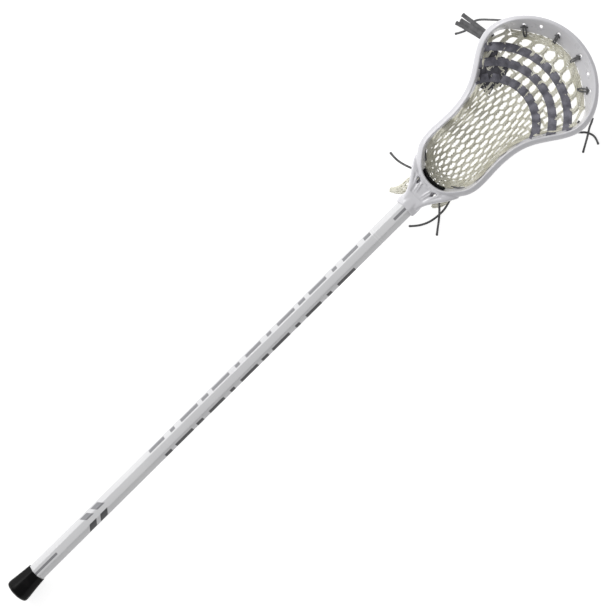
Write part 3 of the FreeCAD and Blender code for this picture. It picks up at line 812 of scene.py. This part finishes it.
def make_head():
    cutters = make_cutters()
    pieces = [cut(solid("rails", [rail_skin()]), cutters["rail_holes"])]
    for part in [rim_skin()] + web_parts():
        pieces.append(cut(solid("wall", [part]), cutters["lip_holes"]))
    for part in ridge_parts():
        pieces.append(cut(solid("ridge", [part]), cutters["windows"]))
    flare = solid("flare", [throat_skin()])
    for name in ("panel", "net_side", "hollow", "bore", "windows"):
        cut(flare, cutters[name])
    pieces += [flare, cut(solid("collar", [collar_skin()]), cutters["screw_hole"])]
    whole = bmesh.new()
    for piece in pieces:
        whole.from_mesh(piece.data)
    mesh = bpy.data.meshes.new("head_shell")
    whole.to_mesh(mesh)
    whole.free()
    for piece in pieces + list(cutters.values()):
        bpy.data.objects.remove(piece)
    head = add("head_shell", mesh, HEAD_PLASTIC, stands_for=["head"])
    remesh = head.modifiers.new("remesh", "REMESH")
    remesh.mode, remesh.voxel_size = "VOXEL", VOXEL
    smooth = head.modifiers.new("smooth", "SMOOTH")
    smooth.factor, smooth.iterations = 0.5, 4
    mesh = bake(head)
    paint(mesh, HEAD_PLASTIC)
    mesh.shade_smooth()


make_head()

# ---- shaft, cap, screw, ball stop

SHAFT_WALL, SHAFT_HOLE_RADIUS = 0.0012, 0.00218
# The foam's ends lie among this many places of the outline from the throat's middle.
THROAT_COUNT = 60


def make_shaft():
    start, end = SHAFT_LOW.x - BUTT, SHAFT_HIGH.x - BUTT
    sections = [
        (start, FLATS - 0.0006, 0.0016), (start + 0.0004, FLATS, 0.0018), (0.25, FLATS, 0.0018),
        (0.5, FLATS, 0.0018), (end - 0.0004, FLATS, 0.0018), (end, FLATS - 0.0006, 0.0016),
    ]
    sections += [(d, FLATS - 2 * SHAFT_WALL, 0.001) for d in (end, 0.5, 0.25, start)]
    rings = [tube_ring(*section) for section in sections]
    mesh = build("shaft_tube", [skin(rings, run_closed=True)])
    piece = add("shaft_tube", mesh, PAINTED_TUBE, stands_for=["shaft"])
    place = at(SCREW_PLACE, 0, AXIS_Z - 0.015)
    hole = solid("shaft_hole", [post(place, SHAFT_HOLE_RADIUS, 0.02, "up")])
    mesh = cut(piece, hole).data
    bpy.data.objects.remove(hole)
    paint(mesh, PAINTED_TUBE)
    mesh.shade_smooth()
    work = bmesh.new()
    work.from_mesh(mesh)
    for edge in work.edges:
        edge.smooth = edge.calc_face_angle(0) < math.radians(28)
    work.to_mesh(mesh)
    work.free()


def make_cap():
    """A rubber cap: a round-cornered flare that swells to its widest ring and tapers to a thin mouth."""
    sections = [
        (0.0000, 0.0180, 0.006), (0.0003, 0.0216, 0.007), (0.0012, 0.0262, 0.008),
        (0.0024, 0.0304, 0.009), (0.0038, 0.0326, 0.010), (0.0058, 0.0334, 0.010),
        (0.0082, 0.0333, 0.010), (0.0110, 0.0327, 0.009), (0.0180, 0.0310, 0.008),
        (0.0270, 0.0289, 0.006), (0.0350, 0.0274, 0.005), (0.0392, 0.0268, 0.0045),
        (0.0405, 0.0264, 0.004), (0.0410, 0.0258, 0.0035),
    ]
    sections += [(d, flats, SOCKET_CORNER) for d, flats in (
        (0.0408, SOCKET + 0.0004), (0.0400, SOCKET), (0.0200, SOCKET), (0.0034, SOCKET),
        (0.0032, SOCKET - 0.001), (0.0032, 0.004))]

    def mouth(y, z):
        return -0.0012 * (abs(z) / 0.0135) ** 2

    rings = [tube_ring(d, flats, corner, mouth if d > 0.038 else None) for d, flats, corner in sections]
    mesh = build("cap_rubber", [skin(rings)])
    piece = add("cap_rubber", mesh, RUBBER, body="cap", stands_for=["butt_cap"])
    divide = piece.modifiers.new("divide", "SUBSURF")
    divide.levels = divide.render_levels = 1
    bake(piece)


def make_ball_stop():
    """A strip of closed-cell foam stuck to the throat's inner face."""
    low, high, thick, half = 0.0242, 0.0466, 0.0030, 0.0238
    end = float(np.interp(half, WALL.y[:THROAT_COUNT], WALL.numbers[:THROAT_COUNT]))
    rings = []
    for share in np.linspace(-1, 1, 41):
        number, sign = abs(share) * end, math.copysign(1, share)
        taper = min(1, (1 - abs(share)) * 9 + 0.35)
        ring = []
        for across, up in oval(thick * taper, high - low - 0.0016 * (1 - taper), 16, 0.35):
            spot = WALL.inside(number, WALL.value("rim", number) + thick / 2 + 0.0006 + across,
                               (low + high) / 2 + up)
            ring.append((spot.x, sign * spot.y, spot.z))
        rings.append(ring)
    mesh = build("ball_stop_pad", [skin(rings)])
    pad = add("ball_stop_pad", mesh, FOAM, stands_for=["ball_stop"])


make_shaft()
make_cap()
make_ball_stop()
paint(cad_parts["head_screw"].data, STEEL)

# ---- the net

COLUMNS, STRANDS = 10, 20
CORD_WIDTH, CORD_THICK, PAIR_GAP, CORD_SINK = 0.0028, 0.0020, 0.00112, 0.00125
# Each row of openings: its place at the middle, and how far its ends fall back.
ROWS = [(0.9991, 0.041), (0.9872, 0.0415), (0.9760, 0.040), (0.9637, 0.040), (0.9529, 0.038),
        (0.9410, 0.035), (0.9311, 0.033), (0.9212, 0.030), (0.9093, 0.026), (0.8975, 0.021),
        (0.8836, 0.016), (0.8698, 0.012), (0.8565, 0.008), (0.8433, 0.004), (0.8301, 0.001),
        (0.8170, -0.003), (0.8068, -0.007), (0.7980, -0.010), (0.7905, -0.012)]
NET_TOP, NET_BOTTOM = 0.0022, (0.7790, -0.018)


def spread_across(share, distance):
    """Columns lie closer together towards the sidewalls, where the net hangs steeply."""
    hang = line_at([(0.80, 0.62), (0.90, 0.62), (0.96, 0.55)], distance)
    return math.sin(share * math.pi / 2 * hang) / math.sin(math.pi / 2 * hang)


def net_point(row, share):
    """(distance, side) of a place on a row; row -1 is the top edge and the last the bottom edge."""
    if row < 0:
        side = share * 0.0775
        edge = FOOT[np.argmax(FOOT[:, 1]):]
        inset = float(np.interp(abs(side), edge[::-1, 1], edge[::-1, 0]))
        return inset - NET_TOP, side
    middle, fall = ROWS[row] if row < len(ROWS) else NET_BOTTOM
    distance = middle - fall * share**2
    width = foot_width(middle - fall) - 0.0012
    return distance, width * spread_across(share, middle - fall)


def column(strand, row):
    """Where a strand stands across the net in a row, from -1 to 1, and its side of the pair."""
    upper = strand % 2 == 0
    if row % 2 == 0:
        place = strand / 2 if upper else (strand + 1) / 2
        way = 1 if upper else -1
    else:
        place = (strand + 1) / 2 if upper else strand / 2
        way = -1 if upper else 1
    return -1 + 2 * place / COLUMNS, way


JITTER = {(place, row): (random.uniform(-1, 1), random.uniform(-1, 1))
          for place in range(-1, STRANDS + 2) for row in range(-2, len(ROWS) + 2)}


def cord_scale(distance):
    """The net is knitted thicker towards the scoop, where its openings are wide."""
    return line_at([(0.80, 0.95), (0.90, 1.0), (0.95, 1.2), (0.98, 1.35)], distance)


def strand_route(strand):
    route = []
    for row in range(-1, len(ROWS) + 1):
        share, way = column(strand, row)
        share = max(-1, min(1, share))
        distance, side = net_point(row, share)
        above = net_point(row - 1, share)[0] if row >= 0 else distance + 0.006
        below = net_point(row + 1, share)[0] if row < len(ROWS) else distance - 0.006
        along, across = JITTER.get((round(share * COLUMNS), row), (0, 0))
        distance += 0.0006 * along
        side += way * PAIR_GAP * cord_scale(distance) + 0.0005 * across
        # The two cords of a pair cross over each other where they meet.
        lift = 0.0005 * way * (1 if row % 4 < 2 else -1)
        for reach in (0.36 * (above - distance), -0.36 * (distance - below)):
            place = distance + reach
            route.append(at(place, side, pocket_height(place, side) - CORD_SINK + lift))
    return route


def yarn_parts(strand):
    """Each cord of the net is two yarns side by side, slightly rolled over each other."""
    section = oval(CORD_WIDTH * 0.56, CORD_THICK * 0.85, 7, 0.9)
    middle = flow(strand_route(strand), 0.0014)
    scales = cord_scale(middle[:, 0] - BUTT)
    parts = []
    for half in (-1, 1):
        line = middle.copy()
        line[:, 1] += half * CORD_WIDTH * 0.26 * scales
        line[:, 2] += half * 0.0003 * np.sin(np.arange(len(line)) * 0.55 + strand)
        parts.append(skin(sweep(line, section, sizes=scales)))
    return parts


def wrap_skin(distance, side, wide):
    """A thin loop round a meeting of two cords."""
    middle = pocket_height(distance, side) - CORD_SINK
    loop = []
    for k in range(10):
        turn = 2 * math.pi * k / 10
        loop.append(at(distance + 0.0013 * math.cos(turn + 0.6), side + wide * math.cos(turn),
                       middle + 0.0013 * math.sin(turn)))
    return loop_skin(loop, 0.0011, 0.0010, 6, (1, 0, 0.001))


def make_net():
    parts = []
    for strand in range(STRANDS):
        parts += yarn_parts(strand)
    for row in range(len(ROWS)):
        shares = sorted({max(-1, min(1, column(strand, row)[0])) for strand in range(STRANDS)})
        for share in shares[1:-1] if row % 2 == 0 else shares:
            distance, side = net_point(row, share)
            scale = cord_scale(distance)
            for shift in (-0.0020, 0.0016):
                parts.append(wrap_skin(distance + shift * scale, side,
                                       (PAIR_GAP + CORD_WIDTH * 0.52) * scale))
    add("pocket_net", build("pocket_net", parts), MESH_CORD, stands_for=["pocket_mesh"])


def make_selvage():
    """Doubled cords along the net's edges, which the strings are laced through."""
    parts = []
    for sign in (1, -1):
        for inset, phase in ((-0.0004, 0.0), (0.0010, 1.6), (0.0026, 3.0)):
            route = []
            for k, distance in enumerate(np.arange(0.800, 0.966, 0.0045)):
                side = foot_width(distance) - inset + 0.0004 * math.sin(k * 1.3 + phase)
                height = pocket_height(distance, side) - 0.0008 + 0.0006 * math.cos(k * 1.3 + phase)
                route.append(at(distance, sign * side, height))
            parts.append(cord_skin(route, 0.0015, 0.0021, 0.0018))
    for inset, phase in ((0.0010, 0.0), (0.0030, 1.7), (0.0050, 3.1), (0.0070, 4.4), (0.0092, 5.6)):
        route = []
        for k, side in enumerate(np.arange(-0.0745, 0.0746, 0.0046)):
            number = on_scoop(abs(side) + 0.012 * (abs(side) / 0.0745))
            depth = WALL.value("foot", number) + inset + 0.0005 * math.sin(k * 1.7 + phase)
            spot = WALL.inside(number, depth, 0)
            y = math.copysign(spot.y, side)
            height = pocket_height(spot.x - BUTT, y) - 0.0006 + 0.0008 * math.cos(k * 1.7 + phase)
            route.append(Vector((spot.x, y, height)))
        parts.append(cord_skin(route, 0.0015, 0.0022, 0.0018))
    for step in range(7):
        route = []
        for k, share in enumerate(np.linspace(-0.97, 0.97, 19)):
            distance, side = net_point(len(ROWS), share)
            distance += 0.0020 * step - 0.0005 + 0.0009 * math.sin(k * 2.1 + step * 1.9)
            height = pocket_height(distance, side) - 0.0004 + 0.0008 * math.cos(k * 2.5 + step)
            route.append(at(distance, side, height))
        parts.append(cord_skin(route, 0.0015, 0.0019, 0.0016))
    add("net_selvage", build("net_selvage", parts), SELVAGE)


make_net()
make_selvage()

# ---- shooting laces

LACE_WIDTH, LACE_THICK, RETURN_WIDTH = 0.0116, 0.0012, 0.0100
# Each lace's crown and ends along the stick, and how far its ends lie to the sides.
LACES = {
    "top": (0.9858, 0.944, 0.0770),
    "middle": (0.9640, 0.924, 0.0670),
    "low": (0.9412, 0.906, 0.0540),
}
# On the left the laces turn back and run down beside the wall, in among the net's cords, in a darker lace
# colour that paints the shade there.
LACE_RETURNS = {
    "top": [(0.955, 0.0745), (0.947, 0.0720), (0.934, 0.0650), (0.920, 0.0565), (0.906, 0.0480)],
    "middle": [(0.953, 0.0640), (0.942, 0.0585), (0.930, 0.0520), (0.918, 0.0455), (0.905, 0.0400)],
    "low": [(0.953, 0.0520), (0.942, 0.0465), (0.930, 0.0415), (0.918, 0.0360), (0.905, 0.0320)],
    "inner": [(0.951, 0.0415), (0.942, 0.0370), (0.932, 0.0325), (0.922, 0.0290)],
}


def lace_route(crown, ends, half):
    rise = crown - ends
    radius = (half**2 + rise**2) / (2 * rise)
    reach = math.asin(half / radius)
    route = []
    for k, turn in enumerate(np.linspace(-reach, reach, 4 * COLUMNS + 1)):
        distance, side = crown - radius + radius * math.cos(turn), radius * math.sin(turn)
        weave = 0.0015 * math.cos(k * math.pi / 2)
        route.append(at(distance, side, pocket_height(distance, side) + 0.0007 + weave))
    return route


def make_laces():
    for name, sizes in LACES.items():
        band = cord_skin(lace_route(*sizes), 0.0016, LACE_WIDTH, LACE_THICK, 14, 0.4)
        add(f"shooting_lace_{name}_band", build(f"lace_{name}", [band]), LACE,
            stands_for=[f"shooting_lace_{name}"])
    for number, (name, places) in enumerate(LACE_RETURNS.items()):
        route = []
        for k, (distance, side) in enumerate(places):
            height = pocket_height(distance, side) - 0.0010 + 0.0011 * math.cos(k * 2.1 + number)
            route.append(at(distance, side, height))
        band = cord_skin(route, 0.0016, RETURN_WIDTH, LACE_THICK, 14, 0.4)
        # The returns are drawn in the darker lace colour, as painted shade.
        add(f"lace_{name}_return", build(f"lace_{name}_return", [band]), LACE_SHADED)


make_laces()

# ---- strings and knots

STRING_WIDE = 0.0030


def make_string(node, routes, wide):
    name = f"{node}_cord"
    parts = [cord_skin(route, 0.0012, wide, wide, 10) for route in routes]
    add(name, build(name, parts), STRING, stands_for=[node])


def sidewall_route(sign):
    route = []
    for k in range(16):
        distance = 0.800 + 0.011 * k
        number = beside(distance)
        depth_shift, drop = (-0.0008, 0.0030) if k % 2 == 0 else (0.0012, 0.0050)
        height = height_at(MESH_EDGE, distance) - drop
        spot = WALL.inside(number, WALL.value("foot", number) + depth_shift, height)
        route.append(Vector((spot.x, sign * spot.y, height)))
    return route


def scoop_place(side, depth, lift):
    number = on_scoop(abs(side))
    spot = WALL.inside(number, depth, 0)
    share = (min(depth, WALL.value("foot", number)) - WALL.value("rim", number)) / WALL.value("lean", number)
    height = WALL.value("top", number) - WALL.value("tall", number) * share
    return Vector((spot.x, math.copysign(spot.y, side), height + lift))


LOOP_SIDES = (0.070, 0.023, -0.023, -0.070)
# A loop's strand: how much of its offset to the side is left, depth from the outline, lift.
LOOP_STRAND = [(1 / 3, 0.0300, 0.0010), (1, 0.0262, 0.0030), (1, 0.0215, 0.0026),
               (0.8, 0.0180, 0.0020), (0.3, 0.0148, 0.0006), (0, 0.0140, -0.0042)]
# The turn round a loop's two strands: shift to the side, depth, lift.
LOOP_TURN = [(0.0038, 0.0172, 0.0010), (0.0014, 0.0168, 0.0036), (-0.0014, 0.0168, 0.0036),
             (-0.0038, 0.0172, 0.0010)]


def top_string_routes():
    """One line along the net's edge, and a doubled loop up to each strung hole of the scoop."""
    routes = [[scoop_place(side, 0.0275, -0.0040 + 0.0006 * math.sin(side * 700))
               for side in np.arange(-0.082, 0.0821, 0.006)]]
    for side in LOOP_SIDES:
        for offset in (0.0018, -0.0018):
            routes.append([scoop_place(side + offset * left, depth, lift)
                           for left, depth, lift in LOOP_STRAND])
        routes.append([scoop_place(side + shift, depth, lift) for shift, depth, lift in LOOP_TURN])
    return routes


BOTTOM_ROUTE = [
    (0.799, 0.0360, 0.0225), (0.794, 0.0312, 0.0248), (0.7872, 0.0222, 0.0188),
    (0.7842, 0.0138, 0.0160), (0.7834, 0.0046, 0.0152), (0.7832, -0.0038, 0.0156),
    (0.7842, -0.0132, 0.0160), (0.7872, -0.0216, 0.0188), (0.794, -0.0306, 0.0248),
    (0.799, -0.0360, 0.0225),
]
# A knot lies here on each side.
KNOT_PLACES = [(0.963, 0.088, 0.012), (0.801, 0.0415, 0.017)]


def knot_skin(centre):
    """A closed three-lobed knot."""
    route = []
    for k in range(36):
        turn = 2 * math.pi * k / 36
        ring = 0.0014 + 0.0007 * math.cos(3 * turn)
        route.append(centre + Vector((ring * math.cos(2 * turn) * 1.1, 0.0011 * math.sin(3 * turn),
                                      ring * math.sin(2 * turn) * 1.1)))
    return loop_skin(route, 0.0019, 0.0019, 8, (0, 1, 0.01))


def make_strings():
    make_string("sidewall_string_left", [sidewall_route(1)], 0.0024)
    make_string("sidewall_string_right", [sidewall_route(-1)], 0.0024)
    make_string("top_string", top_string_routes(), 0.0022)
    make_string("bottom_string", [[at(*place) for place in BOTTOM_ROUTE]], 0.0024)
    knots = [knot_skin(at(distance, sign * side, height))
             for distance, side, height in KNOT_PLACES for sign in (1, -1)]
    add("tie_knots", build("tie_knots", knots), STRING, stands_for=["string_knots"])


make_strings()

# ---- free tails

TAILS = {
    "throat_tail_left": (0.0459, [
        (0.770, 0.024, 0.0175), (0.767, 0.0315, 0.0158), (0.7634, 0.0396, 0.0112),
        (0.7606, 0.048, 0.0068), (0.7596, 0.057, 0.0052), (0.7606, 0.0657, 0.005),
    ]),
    "throat_tail_right_a": (0.0730, [
        (0.7755, -0.033, 0.0156), (0.766, -0.0362, 0.013), (0.7552, -0.0378, 0.008),
        (0.744, -0.0374, 0.0058), (0.733, -0.0354, 0.0056), (0.7234, -0.0312, 0.0058),
        (0.7158, -0.0258, 0.006), (0.7096, -0.020, 0.006),
    ]),
    "throat_tail_right_b": (0.0561, [
        (0.768, -0.020, 0.0184), (0.7614, -0.0266, 0.0182), (0.7548, -0.0332, 0.0162),
        (0.7476, -0.0396, 0.0116), (0.7394, -0.0456, 0.0074), (0.7328, -0.0504, 0.006),
        (0.727, -0.055, 0.0058),
    ]),
    "scoop_tail_right_a": (0.0509, [
        (0.9815, -0.0886, 0.0152), (0.9764, -0.0916, 0.0128), (0.9703, -0.0936, 0.0098),
        (0.9615, -0.0993, 0.006), (0.950, -0.1058, 0.003), (0.9389, -0.112, 0.0017),
    ]),
    "scoop_tail_right_b": (0.0361, [
        (0.9546, -0.0884, 0.0106), (0.9574, -0.0918, 0.0086), (0.9606, -0.0946, 0.0062),
        (0.9632, -0.0994, 0.0032), (0.9652, -0.1054, 0.0018), (0.9642, -0.1122, 0.0017),
        (0.9612, -0.1186, 0.0017),
    ]),
    "scoop_tail_left": (0.0714, [
        (0.987, 0.0848, 0.0155), (0.982, 0.0905, 0.0136), (0.9764, 0.096, 0.0105),
        (0.969, 0.1036, 0.0066), (0.9614, 0.1094, 0.0032), (0.9531, 0.1098, 0.0019),
        (0.9444, 0.1079, 0.0017), (0.9364, 0.1114, 0.0017), (0.9293, 0.1156, 0.0017),
    ]),
}
TAIL_LACE_WIDTH, TAIL_LACE_THICK = 0.0056, 0.0015
LACE_TAILS = {
    "lace_tail_top": (0.0432, [
        (0.9614, 0.0864, 0.0134), (0.960, 0.0946, 0.0114), (0.9584, 0.103, 0.0074),
        (0.957, 0.1116, 0.0044), (0.9554, 0.1194, 0.0018), (0.9544, 0.127, 0.001),
    ]),
    "lace_tail_middle": (0.0411, [
        (0.9568, 0.0854, 0.0144), (0.9552, 0.0934, 0.0128), (0.9534, 0.1016, 0.0092),
        (0.9516, 0.1096, 0.006), (0.9494, 0.117, 0.0038), (0.9476, 0.1236, 0.0028),
    ]),
    "lace_tail_low": (0.0450, [
        (0.9524, 0.0836, 0.012), (0.9508, 0.0916, 0.0106), (0.9484, 0.100, 0.0074),
        (0.9458, 0.1086, 0.0048), (0.9438, 0.117, 0.002), (0.9406, 0.1254, 0.001),
    ]),
}


def cord_line(points):
    """The smooth line of a route: a NURBS spline with the points as its control points."""
    curve = bpy.data.curves.new("route", "CURVE")
    curve.dimensions, curve.resolution_u = "3D", 16
    spline = curve.splines.new("NURBS")
    spline.points.add(len(points) - 1)
    for spot, point in zip(spline.points, points):
        spot.co = (*point, 1)
    spline.order_u = 3
    spline.use_endpoint_u = True
    holder = loose("route", curve)
    mesh = bpy.data.meshes.new_from_object(holder)
    line = [vertex.co.copy() for vertex in mesh.vertices]
    bpy.data.objects.remove(holder)
    bpy.data.meshes.remove(mesh)
    return line


def tip_sizes(line, radius):
    """Even thickness up to a small melted bead at the far end."""
    run = np.concatenate([[0], np.cumsum([(b - a).length for a, b in zip(line, line[1:])])])
    left = run[-1] - run
    bead = 1 + 0.16 * np.exp(-((left - radius) / radius) ** 2)
    close = np.clip(left / (0.7 * radius), 0, 1)
    return bead * (0.35 + 0.65 * np.sqrt(close))


def make_tails():
    for name, (length, places) in TAILS.items():
        route = [at(*place) for place in places]
        line = cord_line(route)
        rings = sweep(line, oval(STRING_WIDE, STRING_WIDE, 12), sizes=tip_sizes(line, STRING_WIDE / 2))
        piece = add(f"{name}_cord", build(name, [skin(rings)]), STRING, stands_for=[name])
    for name, (length, places) in LACE_TAILS.items():
        route = [at(*place) for place in places]
        line = cord_line(route)
        rings = sweep(line, oval(TAIL_LACE_WIDTH, TAIL_LACE_THICK, 16, 0.45),
                      sizes=tip_sizes(line, 0.0008))
        piece = add(f"{name}_band", build(name, [skin(rings)]), LACE_WAXED, stands_for=[name])


make_tails()

# ---- surplus mesh at the throat

# Each roll's middle line and its radius there.
GATHERS = {
    "mesh_tail_left": [
        (0.784, 0.015, 0.017, 0.004), (0.768, 0.016, 0.0145, 0.0055), (0.750, 0.0175, 0.0135, 0.0062),
        (0.738, 0.0205, 0.0128, 0.0068), (0.7305, 0.026, 0.0124, 0.005), (0.7265, 0.031, 0.0122, 0.0025),
    ],
    "mesh_tail_right": [
        (0.786, -0.020, 0.017, 0.004), (0.777, -0.0245, 0.0145, 0.0064), (0.766, -0.026, 0.0132, 0.0078),
        (0.757, -0.0236, 0.0126, 0.0064), (0.7515, -0.021, 0.0122, 0.004),
    ],
}


GATHER_STRANDS = 20


def make_gather(name, places):
    """Loose netting drawn together: zigzag cords wrapped round a soft roll."""
    centres = flow([at(*place[:3]) for place in places], 0.002)
    share = np.linspace(0, 1, len(centres))
    radii = 1.22 * np.interp(share, np.linspace(0, 1, len(places)), [place[3] for place in places])
    tangent = np.gradient(centres, axis=0)
    tangent /= np.linalg.norm(tangent, axis=1)[:, None]
    side = np.cross((0, 0, 1), tangent)
    side /= np.linalg.norm(side, axis=1)[:, None]
    over = np.cross(tangent, side)
    parts = []
    for strand in range(GATHER_STRANDS):
        route = []
        for k, centre in enumerate(centres):
            zigzag = 0.13 * math.sin(k * 0.95 + (0 if strand % 2 else math.pi))
            turn = 2 * math.pi * (strand + 0.5) / GATHER_STRANDS + zigzag
            reach = max(radii[k] - 0.0011, 0.001) * (1 + 0.06 * math.sin(strand * 2.3 + k * 0.4))
            route.append(centre + reach * (math.cos(turn) * side[k] + 0.9 * math.sin(turn) * over[k]))
        end = len(route) - (strand * 5) % 3
        parts.append(cord_skin(route[:end], 0.0014, 0.0021, 0.0018))
    add(f"{name}_net", build(name, parts), MESH_CORD, stands_for=[name])


for gather_name, gather_places in GATHERS.items():
    make_gather(gather_name, gather_places)

# ---- floor, light and camera

# At rest the stick leans on its cap and on the rails under the pocket.
FLOOR_TOUCH, CAP_TOUCH, FLOOR_GAP = 0.878, 0.008, 0.0002
CAP_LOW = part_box("butt_cap")[0][2]


def make_floor():
    slope = CAP_LOW / (FLOOR_TOUCH - CAP_TOUCH)
    rings = [[(BUTT + d, y, (FLOOR_TOUCH - d) * slope - FLOOR_GAP) for d in np.linspace(-5.5, 6.5, 13)]
             for y in np.linspace(-6, 6, 13)]
    mesh = build("floor", [skin(rings, ring_closed=False, ends=False)], closed=False)
    mesh.materials.append(PAPER)
    floor = loose("floor", mesh)


KEY_PLACE, KEY_AIM = Vector((-0.1, 3.4, 2.3)), Vector((0.05, 0, 0.03))
KEY_SIZE, KEY_POWER, WORLD_POWER = 2.4, 104, 0.42


def make_lights():
    world = bpy.data.worlds.new("studio")
    world.use_nodes = True
    background = world.node_tree.nodes["Background"]
    background.inputs["Color"].default_value = (1, 1, 1, 1)
    background.inputs["Strength"].default_value = WORLD_POWER
    bpy.context.scene.world = world
    key = bpy.data.lights.new("key", "AREA")
    key.shape, key.size, key.energy = "SQUARE", KEY_SIZE, KEY_POWER
    light = loose("key", key)
    light.location = KEY_PLACE
    light.rotation_euler = (KEY_AIM - KEY_PLACE).to_track_quat("-Z", "Y").to_euler()
    bpy.context.scene.view_settings.view_transform = "Standard"


CAMERA_LEAN, STICK_ANGLE = math.radians(8), math.radians(44.7)
CAMERA_DISTANCE, CAMERA_LENS = 9.0, 405.6
AIM = Vector((0.021, 0, AXIS_Z))


def make_camera():
    away = Vector((math.sin(CAMERA_LEAN), 0, math.cos(CAMERA_LEAN)))
    along = Vector((math.cos(CAMERA_LEAN), 0, -math.sin(CAMERA_LEAN)))
    across = away.cross(along)
    right = along * math.cos(STICK_ANGLE) - across * math.sin(STICK_ANGLE)
    up = along * math.sin(STICK_ANGLE) + across * math.cos(STICK_ANGLE)
    data = bpy.data.cameras.new("camera")
    data.lens, data.sensor_width = CAMERA_LENS, 36
    data.clip_end = 40
    camera = loose("camera", data)
    place = AIM + away * CAMERA_DISTANCE
    rows = [(*triple, move) for triple, move in zip(zip(right, up, away), place)]
    camera.matrix_world = Matrix([*rows, (0, 0, 0, 1)])
    bpy.context.scene.camera = camera


make_floor()
make_lights()
make_camera()
